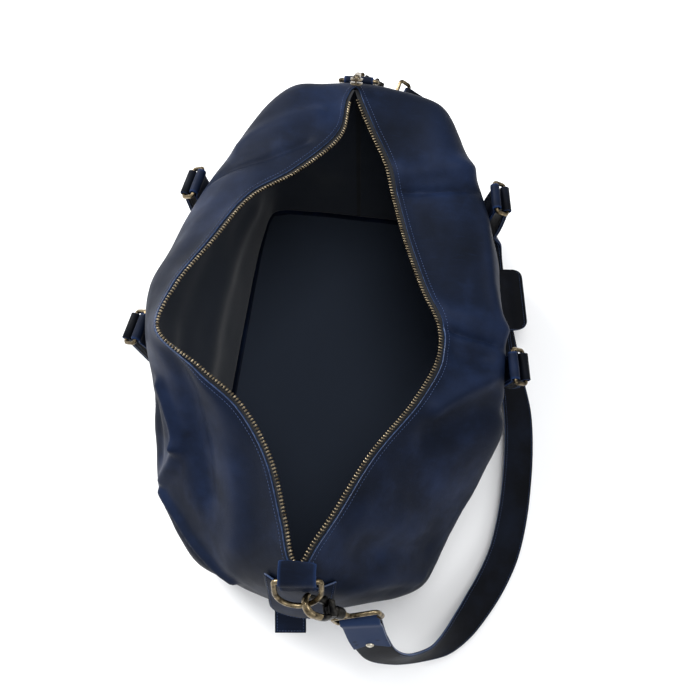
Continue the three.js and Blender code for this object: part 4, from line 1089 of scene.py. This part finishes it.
for side, h in handle_frames.items():
    centres, widths, hang, face, front_end, rear_end, drop = handle_line(h)
    frames = frames_along(centres, widths)
    normals = [f.to_3x3() @ Vector((0, 1, 0)) for f in frames]
    offset = LAYER / 2 + 0.1
    upper = [c + n * offset for c, n in zip(centres, normals)]
    lower = [c - n * offset for c, n in zip(centres, normals)][::-1]
    arc = np.linspace(-0.7, math.pi + 0.7, 16)
    over_rear = [rear_end + normals[-1] * (ROLL * math.cos(t)) - hang * (ROLL * math.sin(t)) for t in arc]
    over_front = [front_end - normals[0] * (ROLL * math.cos(t)) - hang * (ROLL * math.sin(t)) for t in arc]
    path = upper + over_rear + lower + over_front
    across = widths + [widths[-1]] * len(arc) + widths[::-1] + [widths[0]] * len(arc)
    outline, cut = band(HANDLE_WIDE, LAYER)
    strap = sweep(frames_along(path, across, closed=True), outline, closed=True, edges=cut)
    body = f"{side}_carry_handle"
    keep(strap, f"{side}_handle_band", [strap_navy], body, [f"{side}_handle"], 60)
    rows = stitched_edges(frames_along(upper, widths), 12.6, LAYER / 2)
    joined(rows, stitched_edges(frames_along(lower, widths[::-1]), 12.6, LAYER / 2))
    keep(rows, f"{side}_handle_stitching", [thread], body, outwards=False, sharp=180)
    for end, bar in (("rear", rear_end), ("front", front_end)):
        keep(
            rivet(bar + hang * 15.4, face, 5.6), f"{side}_{end}_handle_cap", [cap_metal], body,
            [f"{side}_{end}_handle_rivet"],
        )
    h.update(hang=hang, face=face, grip=(front_end + rear_end) / 2 + hang * drop + h["along"] * h["skew"])

# %% [markdown]
# ## The grip wrap
# A leather wrap folds round the right handle's grip. Its fold is on the bag's side and its two
# flaps meet on the outside, with rounded corners. It is a sheet lofted along the grip.

# %% Grip wrap
WRAP_LONG = 90
WRAP_BACK = -16.4
WRAP_LIP = WRAP_BACK + 58
WRAP_CORNER = 13
WRAP_GAP = 4.1
g = handle_frames["right"]
lengthwise = g["face"].cross(g["hang"])


def wrap_point(share, z):
    """A point of the wrap: share from 0 at one lip to 1 at the other, z along the grip."""
    past = max(0, abs(z) - (WRAP_LONG / 2 - WRAP_CORNER))
    lip = WRAP_LIP - (WRAP_CORNER - math.sqrt(max(WRAP_CORNER**2 - past**2, 0)))
    flap, side = (1 - share / 0.42, 1) if share < 0.42 else ((share - 0.58) / 0.42, -1)
    if 0.42 <= share <= 0.58:
        turn = math.pi / 2 + math.pi * (share - 0.42) / 0.16
        x, y = WRAP_BACK + WRAP_GAP * math.cos(turn), WRAP_GAP * math.sin(turn)
    else:
        x = WRAP_BACK + (lip - WRAP_BACK) * flap
        y = side * (WRAP_GAP - (WRAP_GAP - 1.4) * float(eased((x - 17) / 12)))
    return g["grip"] + g["face"] * x + g["hang"] * y + lengthwise * z


zs = np.linspace(-WRAP_LONG / 2, WRAP_LONG / 2, 40)
bend = np.linspace(0.42, 0.58, 9)[1:-1]
shares = np.concatenate([np.linspace(0, 0.42, 14), bend, np.linspace(0.58, 1, 14)])
wrap = lofted([[wrap_point(s, z) for s in shares] for z in zs])
wrap = keep(
    wrap, "grip_wrap_leather", [strap_navy, cut_edge], "right_carry_handle",
    ["grip_wrap"], 180, False,
)
finish_with(wrap, "SOLIDIFY", thickness=2.2 * MM, offset=0, material_offset_rim=1)
rounded(wrap)
rows = bmesh.new()
for side in (1, -1):
    line = [(WRAP_LIP - 4.5 - max(0, abs(z) - 36) ** 2 / 7, z) for z in np.linspace(-41, 41, 40)]
    path = [g["grip"] + g["face"] * x + g["hang"] * (side * 2.6) + lengthwise * z for x, z in line]
    joined(rows, stitch_row(path, [g["hang"] * side] * len(path)))
keep(rows, "grip_wrap_stitching", [thread], "right_carry_handle", outwards=False, sharp=180)

# %% [markdown]
# ## The two ends
# At each end a leather patch covers the seam, and a loop over it holds a D-ring. The ring is
# thick brass wire with a straight bar. A short tab hangs under the front patch.

# %% End rings, loops and patches
D_INSIDE = 41
D_REACH = 37
D_WIRE = 2.75
ENDS = {
    "front": dict(seam=0, bar=(0, -269, 259), turn=7, dip=52, out=-1),
    "rear": dict(seam=REAR_SEAM, bar=(-12, 339, 232), turn=3, dip=60, out=1),
}
PATCH_TOP, PATCH_FOOT, PATCH_HIGH, PATCH_THICK = 76, 62, 86, 3.0
PATCH_CORNER = 16
PATCH_LIFT = {"front": 7, "rear": 2}  # how far its lower edge stands off the wall
OVER_ZIP_END = [(0, -5.2, 0.5), (0, -2.5, 5.6), (-0.5, 3.5, 9.5), (-1, 11, 13.2), (-1.2, 19, 15.5)]


def station_beside(seam, level, away):
    """The station whose surface at a level lies a sideways distance from a seam."""
    centre = on_skin(seam, level)
    low, high = 0.0, 1.8
    for _ in range(18):
        middle = (low + high) / 2
        point = on_skin(seam + math.copysign(middle, away), level)
        low, high = (middle, high) if math.dist(point[:2], centre[:2]) < abs(away) else (low, middle)
    return seam + math.copysign(low, away)


for end, e in ENDS.items():
    bar = Vector(e["bar"])
    turn, dip = math.radians(e["turn"]), math.radians(e["dip"])
    across = Vector((math.cos(turn), math.sin(turn), 0))
    away = Vector((0, 0, e["out"])).cross(across)
    up = Vector((0, 0, 1))
    lean = math.radians(22)
    tail = away * math.sin(lean) - up * math.cos(lean)
    face = away * math.cos(lean) + up * math.sin(lean)
    loop, frames = folded_band(bar, across, face, -tail, 1.1, 4.6, (22, 22), D_INSIDE - 4, 2.1)
    if end == "front":
        over = [bar + Vector((x, y, z)) for x, y, z in OVER_ZIP_END]
        outline, cut = band(D_INSIDE - 4, 2.1)
        fine = [Vector(p) for p in smooth_curve(over, np.linspace(0, 1, 14))]
        joined(loop, sweep(frames_along(fine, across), outline, edges=cut))
    made = keep(loop, f"{end}_ring_loop_leather", [navy], "bag", [f"{end}_ring_loop"], 60)
    rounded(made)
    half = D_INSIDE / 2 + D_WIRE
    side_long = D_REACH - half
    reach = away * math.cos(dip) - up * math.sin(dip)
    outline = [(x, 0) for x in np.linspace(-half + 2.4, half - 2.4, 7)]
    outline += [(half - 0.7, 0.7), (half, 2.4), (half, side_long / 2)]
    outline += [(half * math.cos(t), side_long + half * math.sin(t)) for t in np.linspace(0, math.pi, 25)]
    outline += [(-half, side_long / 2), (-half, 2.4), (-half + 0.7, 0.7)]
    path = [bar + across * x + reach * y for x, y in outline]
    ring = sweep(frames_along(path, reach.cross(across), closed=True), disc(D_WIRE, 16), closed=True)
    keep(ring, f"{end}_d_ring_wire", [brass], f"{end}_ring", [f"{end}_d_ring"], 80)

    seam_at, top = e["seam"], at_height(e["seam"], e["bar"][2] - 34)
    down = np.concatenate([np.linspace(0, 0.86, 14), np.linspace(0.88, 1, 8)])
    rows = []
    for share in np.linspace(-1, 1, 22):
        row = []
        for level_share in down:
            level = top - PATCH_HIGH * level_share
            wide = (PATCH_TOP + (PATCH_FOOT - PATCH_TOP) * level_share) / 2
            past = max(0, PATCH_HIGH * level_share - (PATCH_HIGH - PATCH_CORNER))
            wide -= PATCH_CORNER - math.sqrt(max(PATCH_CORNER**2 - past**2, 0.5))
            station = station_beside(seam_at, level, share * wide or 0.001)
            lift = PATCH_LIFT[end] * float(eased((level_share - 0.3) / 0.7))
            row.append(skin([station], [[level]], -(1.4 + PATCH_THICK + lift))[0, 0])
        rows.append(row[::-1])
    patch = lofted(rows)
    patch = keep(
        patch, f"{end}_patch_leather", [navy, cut_edge], "bag",
        [f"{end}_end_patch"], 180, False,
    )
    finish_with(patch, "SOLIDIFY", thickness=PATCH_THICK * MM, offset=-1, material_offset_rim=1)
    rounded(patch)
    inset_rows = np.array(rows)
    line = [inset_rows[1][k] for k in range(len(down) - 1, 2, -1)]
    line += [inset_rows[k][2] for k in range(1, len(inset_rows) - 1)]
    line += [inset_rows[-2][k] for k in range(3, len(down))]
    normals = [outward(seam_at, np.array([top - PATCH_HIGH / 2]))[0]] * len(line)
    rows = stitch_row(line, normals, lift=0.3)
    keep(rows, f"{end}_patch_stitching", [thread], "bag", outwards=False, sharp=180)

# %% Front tab
TAB_HALF_WIDE, TAB_HALF_LONG, TAB_THICK = 18, 13.5, 3
tab_corners = [(-1, -1), (1, -1), (1, 1), (-1, 1)]
tab = plate([(x * TAB_HALF_WIDE, y * TAB_HALF_LONG) for x, y in tab_corners], TAB_THICK, 0.8)
tab_at = Matrix.Translation((-12, -315, 108)) @ Matrix.Rotation(math.radians(7), 4, "Z")
tab_at = tab_at @ Matrix.Rotation(math.radians(22), 4, "X")
tab = moved(tab, tab_at @ Matrix.Translation((0, 0, -TAB_THICK / 2)))
keep(tab, "front_tab_leather", [navy], "bag", ["front_tab"])
line = [tab_at @ Vector((x, y, TAB_THICK / 2)) for x, y in [(-15, 12), (-15, -10.8), (15, -10.8), (15, 12)]]
rows = stitch_row(line, [tab_at.to_3x3() @ Vector((0, 0, 1))] * len(line))
keep(rows, "front_tab_stitching", [thread], "bag", outwards=False, sharp=180)

# %% [markdown]
# ## Snap hooks
# A cast hook with a hinged gate, sprung shut, and a loop that turns in its barrel. The claw is
# polished back to the brass at its bow. Its shank, the body and the gate stay black. A hook's own
# axes are c across it, a along it towards the strap and m out of its plane.

# %% Hook frames
HOOKS = {
    "front": dict(
        eye=(16.8, -289.6, 230.6), a=(0.73, -0.14, -0.67), m=(0.78, 0.475, 0.485),
        loop=(0.9, 0.26, 0.355), shift=5,
    ),
    "rear": dict(
        eye=(-6, 360, 203), a=(0.78, 0.1, -0.62), m=(0.62, -0.3, 0.72), loop=(0.2, 0.75, 0.3), shift=0,
    ),
}
EYE_R, HOOK_WIRE, SHANK = 10.5, 3.1, 23
CLAW_BROAD = 1.5  # the claw is this much broader than it is thick
BARREL_LOW, BARREL_HIGH, BARREL_R, TO_LOOP = 25, 41, 6.2, 52
LOOP_HALF, LOOP_REACH, LOOP_WIRE = 47 / 2 + 2.5, 17, 2.5


def lathed(profile, matrix, steps=28):
    """A (radius, height) profile spun round a frame's Z."""
    bm = bmesh.new()
    verts = [bm.verts.new((r, 0, z)) for r, z in profile]
    edges = [bm.edges.new(pair) for pair in zip(verts, verts[1:])]
    bmesh.ops.spin(
        bm, geom=verts + edges, cent=(0, 0, 0), axis=(0, 0, 1),
        angle=2 * math.pi, steps=steps, use_merge=True,
        use_duplicate=False, dvec=(0, 0, 0),
    )
    bmesh.ops.remove_doubles(bm, verts=bm.verts[:], dist=0.01)
    return moved(bm, matrix)


strap_bars = {}
for end, k in HOOKS.items():
    eye, a = Vector(k["eye"]), Vector(k["a"]).normalized()
    m = Vector(k["m"])
    m = (m - a * m.dot(a)).normalized()
    c = a.cross(m)
    own = Matrix(([*c, 0], [*a, 0], [*m, 0], [*eye, 1])).transposed()
    turns = np.radians(np.linspace(205, 360, 20))
    flat = [(EYE_R * math.cos(t), EYE_R * math.sin(t)) for t in turns]
    flat += [(EYE_R, 10), (9, 18), (5.5, SHANK), (2, BARREL_LOW + 2)]
    line = smooth_curve([(x, y, 0) for x, y in flat], np.linspace(0, 1, 60))
    path = [own @ Vector(p) for p in line]
    frames = frames_along(path, m)
    broad = [min(1.0, 0.45 + i / 6) for i in range(len(frames))]
    frames = [f @ Matrix.Diagonal((b * CLAW_BROAD, b, 1, 1)) for f, b in zip(frames, broad)]
    claw = sweep(frames, disc(HOOK_WIRE, 16))
    back = own.inverted()
    for face in claw.faces:
        face.material_index = int((back @ face.calc_center_median()).y > 9)
    keep(claw, f"{end}_hook_claw", [brass, black_metal], f"{end}_hook")
    along_a = own @ Matrix.Rotation(-math.pi / 2, 4, "X")
    barrel_profile = [
        (0.1, BARREL_LOW - 1), (4.4, BARREL_LOW - 1), (BARREL_R, BARREL_LOW + 1), (BARREL_R, 29),
        (5.3, 29.6), (5.3, 31),
        (BARREL_R, 31.6), (BARREL_R, 38.6), (5.6, BARREL_HIGH), (3.1, BARREL_HIGH), (3.1, 31), (0.1, 31),
    ]
    body = lathed(barrel_profile, along_a)
    cheek = [(-10, 19.6), (-8.6, 18.5), (7.4, 18.5), (9, 20), (8, 27.5), (-9, 27.5), (-10, 26.4)]
    joined(body, moved(plate(cheek, 3.0, 0.7), own @ Matrix.Translation((0, 0, 2.5))))
    joined(body, moved(plate(cheek, 3.0, 0.7), own @ Matrix.Translation((0, 0, -5.5))))
    between = plate([(-2.6, 18.5), (9, 20), (8, 27.5), (-2.6, 27.5)], 5.2, 0.4)
    joined(body, moved(between, own @ Matrix.Translation((0, 0, -2.6))))
    pin_at = own @ Matrix.Translation((-6.5, SHANK, 0))
    pin_end = [(0.1, -6.1), (2.2, -6.0), (2.4, -5.5), (1.5, -5.3)]
    joined(body, lathed(pin_end + [(r, -z) for r, z in pin_end[::-1]], pin_at, 16))
    keep(body, f"{end}_hook_body", [black_metal], f"{end}_hook", [f"{end}_snap_hook"], 35)
    gate_line = [
        (-10.5, -1.2), (-6.6, -1.2), (-5.2, 12), (-4.4, 21), (-5.0, 24.6), (-6.4, 25.4), (-8.2, 25),
        (-10.2, 22.5), (-14.2, 19.2), (-13.5, 16), (-10, 15),
    ]
    gate = moved(plate(gate_line, 4.0, 0.7), own @ Matrix.Translation((0, 0, -2)))
    keep(gate, f"{end}_gate_lever", [black_metal], f"{end}_gate", [f"{end}_snap_gate"], 35)

    wide = Vector(k["loop"]).normalized()
    reach = (a - wide * a.dot(wide)).normalized()
    middle = eye + a * TO_LOOP + wide * k["shift"]
    r = 4.2
    corners = [
        (LOOP_HALF - r, LOOP_REACH - r, 0), (-LOOP_HALF + r, LOOP_REACH - r, math.pi / 2),
        (-LOOP_HALF + r, r, math.pi), (LOOP_HALF - r, r, 1.5 * math.pi),
    ]
    path = round_corners(corners, r, wide, reach, middle, 7)
    loop = sweep(frames_along(path, wide.cross(reach), closed=True), disc(LOOP_WIRE), closed=True)
    stem_profile = [(0.1, 32), (2.5, 32), (2.5, BARREL_HIGH + 0.6), (4.2, BARREL_HIGH + 1), (4.2, 43.4)]
    stem_profile += [(2.6, 44.4), (2.6, TO_LOOP), (0.1, TO_LOOP)]
    joined(loop, lathed(stem_profile, along_a, 18))
    keep(loop, f"{end}_strap_loop_wire", [brass], "bag", [f"{end}_strap_loop"], 50)
    strap_bars[end] = dict(bar=middle + reach * LOOP_REACH, wide=wide, reach=reach)
    print(end, "strap bar at", [round(v) for v in strap_bars[end]["bar"]])

# %% [markdown]
# ## The shoulder strap
# One 44 mm strap from loop to loop. It drops from the front hook, twists on to its edge, lies
# round the right side on the floor and climbs to the rear hook. Each end is folded round its
# loop and riveted back on itself, and the end of the fold is cut to a fishtail. It is lofted
# across its width so that the cut end can be shaped, and Solidify gives its 3.2 mm.

# %% Strap route
STRAP_WIDE, STRAP_THICK = 44, 3.2
STRAP_ROUTE = [
    ((80, -323, 134), (0.86, 0.3, 0.42)), ((96, -339, 98), (0.6, 0.38, 0.7)),
    ((124, -343, 66), (0.15, 0.32, 0.94)), ((155, -335, 46), (-0.1, 0.36, 0.93)),
    ((178, -321, 37), (-0.4, 0.5, 0.77)), ((199, -298, 28), (-0.65, 0.5, 0.57)),
    ((218, -269, 20), (-0.8, 0.42, 0.43)), ((233, -242, 15), (-0.87, 0.34, 0.36)),
    ((248, -204, 12), (-0.93, 0.2, 0.31)), ((257, -157, 11), (-0.95, 0.1, 0.3)),
    ((261, -103, 11), (-0.95, 0, 0.3)), ((261, -55, 11), (-0.95, -0.06, 0.3)),
    ((257, -12, 12), (-0.93, -0.15, 0.33)), ((247, 30, 15), (-0.86, -0.25, 0.45)),
    ((234, 75, 14), (-0.9, -0.25, 0.34)), ((222, 120, 13), (-0.9, -0.3, 0.3)),
    ((204, 168, 13), (-0.88, -0.35, 0.3)), ((188, 214, 16), (-0.8, -0.4, 0.42)),
    ((176, 252, 34), (-0.45, -0.4, 0.78)), ((156, 282, 64), (-0.1, -0.4, 0.9)),
    ((132, 316, 102), (0.05, -0.3, 0.94)), ((103, 346, 130), (0.1, 0.1, 0.96)),
    ((76, 363, 142), (0.12, 0.55, 0.8)),
]
FLAP = 64
FLAP_SIDE = {"front": 1, "rear": 1}
FISHTAIL = 11  # how deep the notch in the cut end is
LAYER_OFFSET = 1.75  # of each layer from the middle, where the strap is double
ROLL_R = LOOP_WIRE + 0.8 + STRAP_THICK / 2
for end, next_at in (("front", STRAP_ROUTE[0][0]), ("rear", STRAP_ROUTE[-1][0])):
    strap_bars[end]["leave"] = (Vector(next_at) - strap_bars[end]["bar"]).normalized()
first, last = strap_bars["front"], strap_bars["rear"]
start_at, end_at = (bar["bar"] + bar["leave"] * 6 for bar in (first, last))
centres = [start_at, *[Vector(p) for p, w in STRAP_ROUTE], end_at]
widths = [first["wide"], *[Vector(w) for p, w in STRAP_ROUTE], last["wide"]]
places = np.linspace(0, 1, 170)
line = [Vector(p) for p in smooth_curve([c[:] for c in centres], places)]
across = [Vector(w).normalized() for w in smooth_curve([w[:] for w in widths], places)]
strap_frames = frames_along(line, across)
length = sum((b - a).length for a, b in zip(line, line[1:]))
print("strap, loop to loop, in millimetres:", round(length))


# %% Strap
def strap_end(bar, frames, flap_side, cut):
    """Rows of points for the fold round a loop: the flap's free end first, then over the bar."""
    near = frames[:1] + frames[1:26]
    lengths = [(b.translation - a.translation).length for a, b in zip(near, near[1:])]
    run = np.concatenate([[0], np.cumsum(lengths)])
    rows = []
    for distance in np.linspace(FLAP, 6, 20):
        row = []
        for share in np.linspace(-1, 1, 13):
            notch = cut * (1 - abs(share)) * float(eased((distance - FLAP * 0.45) / (FLAP * 0.55)))
            at = max(distance - notch, 1)
            i = int(np.clip(np.searchsorted(run, at), 1, len(run) - 1))
            part = (at - run[i - 1]) / (run[i] - run[i - 1])
            on_flap = Vector((share * STRAP_WIDE / 2, flap_side * LAYER_OFFSET, 0))
            row.append((near[i - 1] @ on_flap).lerp(near[i] @ on_flap, part))
        rows.append(row)
    up = (frames[0].to_3x3() @ Vector((0, 1, 0))).normalized() * flap_side
    back = -(frames[0].to_3x3() @ Vector((0, 0, 1))).normalized()
    for turn in np.linspace(-0.35, math.pi + 0.35, 13):
        middle = bar["bar"] + up * (ROLL_R * math.cos(turn)) + back * (ROLL_R * math.sin(turn))
        side = frames[0].to_3x3() @ Vector((1, 0, 0))
        rows.append([middle + side * (share * STRAP_WIDE / 2) for share in np.linspace(-1, 1, 13)])
    return rows


def strap_rows():
    """All the strap's rows: front flap, front fold, the long run, rear fold and rear flap."""
    turned = [f @ Matrix.Diagonal((1, 1, -1, 1)) for f in strap_frames]
    rows = strap_end(first, strap_frames, FLAP_SIDE["front"], FISHTAIL)
    count = len(strap_frames)
    for i, f in enumerate(strap_frames[3:-3], 3):
        drop = FLAP_SIDE["front"] * -LAYER_OFFSET * float(1 - eased((i - 11) / 6))
        drop += FLAP_SIDE["rear"] * -LAYER_OFFSET * float(1 - eased((count - 12 - i) / 6))
        rows.append([f @ Vector((share * STRAP_WIDE / 2, drop, 0)) for share in np.linspace(-1, 1, 13)])
    rear = strap_end(last, turned[::-1], FLAP_SIDE["rear"], FISHTAIL)
    return rows + rear[::-1]


all_rows = strap_rows()
strap = keep(
    lofted(all_rows), "shoulder_strap_leather", [strap_navy, cut_edge], "bag",
    ["shoulder_strap"], 180, False,
)
# Both folded-over ends are painted paler and bluer than the rest, as painted light on the ends that lie on
# top.
row_of = {tuple(round(c * MM, 6) for c in point): k for k, row in enumerate(all_rows) for point in row}
flap_rows = set(range(28)) | set(range(len(all_rows) - 28, len(all_rows)))
flap_painted_light = [float(row_of.get(tuple(round(c, 6) for c in v.co), 60) in flap_rows) for v in strap.data.vertices]
mark(strap, "edge", np.array(flap_painted_light))
finish_with(strap, "SOLIDIFY", thickness=STRAP_THICK * MM, offset=0, material_offset_rim=1)
rounded(strap)
rows = bmesh.new()
for face_side in (1, -1):
    for side in (-1, 1):
        seam_at = Vector((side * (STRAP_WIDE / 2 - 3.2), face_side * STRAP_THICK / 2, 0))
        path = [f @ seam_at for f in strap_frames[16:-16]]
        normals = [f.to_3x3() @ Vector((0, face_side, 0)) for f in strap_frames[16:-16]]
        joined(rows, stitch_row(path, normals))
keep(rows, "shoulder_strap_stitching", [thread], "bag", outwards=False, sharp=180)
for end, f in (("front", strap_frames[4]), ("rear", strap_frames[-5])):
    box_low, box_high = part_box(f"{end}_strap_rivet")
    middle = (box_low + box_high) / 2 / MM
    keep(
        rivet(middle, f.to_3x3() @ Vector((0, 1, 0)), 2 * STRAP_THICK + 1.4), f"{end}_strap_cap",
        [cap_metal], "bag", [f"{end}_strap_rivet"],
    )

# %% [markdown]
# ## Pieces kept from the CAD model
# The stiffener board and the lining's floor are flat and out of sight, so the CAD shapes stay.
# They only need their real materials.

# %% Kept nodes
flat_twill, tree, shader = new_material("flat_cotton_twill", Roughness=0.92, Sheen_Weight=0.25)
place = add(tree, "ShaderNodeTexCoord").outputs["Object"]
turned = add(tree, "ShaderNodeMapping", {"Vector": place, "Rotation": (0, 0, math.radians(35))})
slant = {"Vector": turned.outputs["Vector"], "Scale": 1000 / 1.6 / WAVES_PER_UNIT, "Distortion": 0.6}
ribs = add(tree, "ShaderNodeTexWave", slant)
colour = ramp(tree, ribs.outputs["Fac"], [(0.05, "#0c1119"), (0.8, "#1d2a3d")])
tree.links.new(colour, shader.inputs["Base Color"])
for node, material in (("base_board", board), ("lining_floor", flat_twill)):
    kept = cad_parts[node]
    kept.data.materials.clear()
    kept.data.materials.append(material)
    print(node, "has", material.name)

# %% [markdown]
# ## Floor and light
# A pale studio floor and three soft lamps: the key from the rear left, a weak fill from the front
# right and one overhead. Pale surroundings fill the shadows.

# %% Floor and lamps
FLOOR_HALF = 6.0
floor_bm = bmesh.new()
bmesh.ops.create_grid(floor_bm, x_segments=8, y_segments=8, size=FLOOR_HALF)
floor_mesh = bpy.data.meshes.new("floor")
floor_bm.to_mesh(floor_mesh)
floor_bm.free()
floor = bpy.data.objects.new("floor", floor_mesh)
bpy.context.scene.collection.objects.link(floor)
paint, tree, shader = new_material("white_floor_paint", Roughness=0.85)
place = add(tree, "ShaderNodeTexCoord").outputs["Object"]
grain = add(tree, "ShaderNodeTexNoise", {"Vector": place, "Scale": 3.0, "Detail": 3.0})
colour = ramp(tree, grain.outputs["Fac"], [(0.3, "#f6f6f6"), (0.7, "#fafafa")])
tree.links.new(colour, shader.inputs["Base Color"])
floor_mesh.materials.append(paint)


def lamp(name, place, aim, size, power):
    """A square soft lamp aimed at a point."""
    data = bpy.data.lights.new(name, "AREA")
    data.size = size
    data.energy = power
    made = bpy.data.objects.new(name, data)
    made.location = place
    made.rotation_euler = (Vector(aim) - Vector(place)).to_track_quat("-Z", "Y").to_euler()
    bpy.context.scene.collection.objects.link(made)


lamp("key", (-1.7, 1.2, 1.7), (0, 0, 0.15), 1.1, 85)
lamp("fill", (1.6, -1.5, 1.6), (0, 0, 0.1), 1.8, 14)
lamp("top", (0.2, 0.2, 2.6), (0, 0, 0.1), 1.4, 30)
world = bpy.data.worlds.new("studio")
world.use_nodes = True
world.node_tree.nodes["Background"].inputs["Color"].default_value = (0.95, 0.97, 1.0, 1)
world.node_tree.nodes["Background"].inputs["Strength"].default_value = 0.7
bpy.context.scene.world = world
bpy.context.scene.view_settings.view_transform = "Standard"
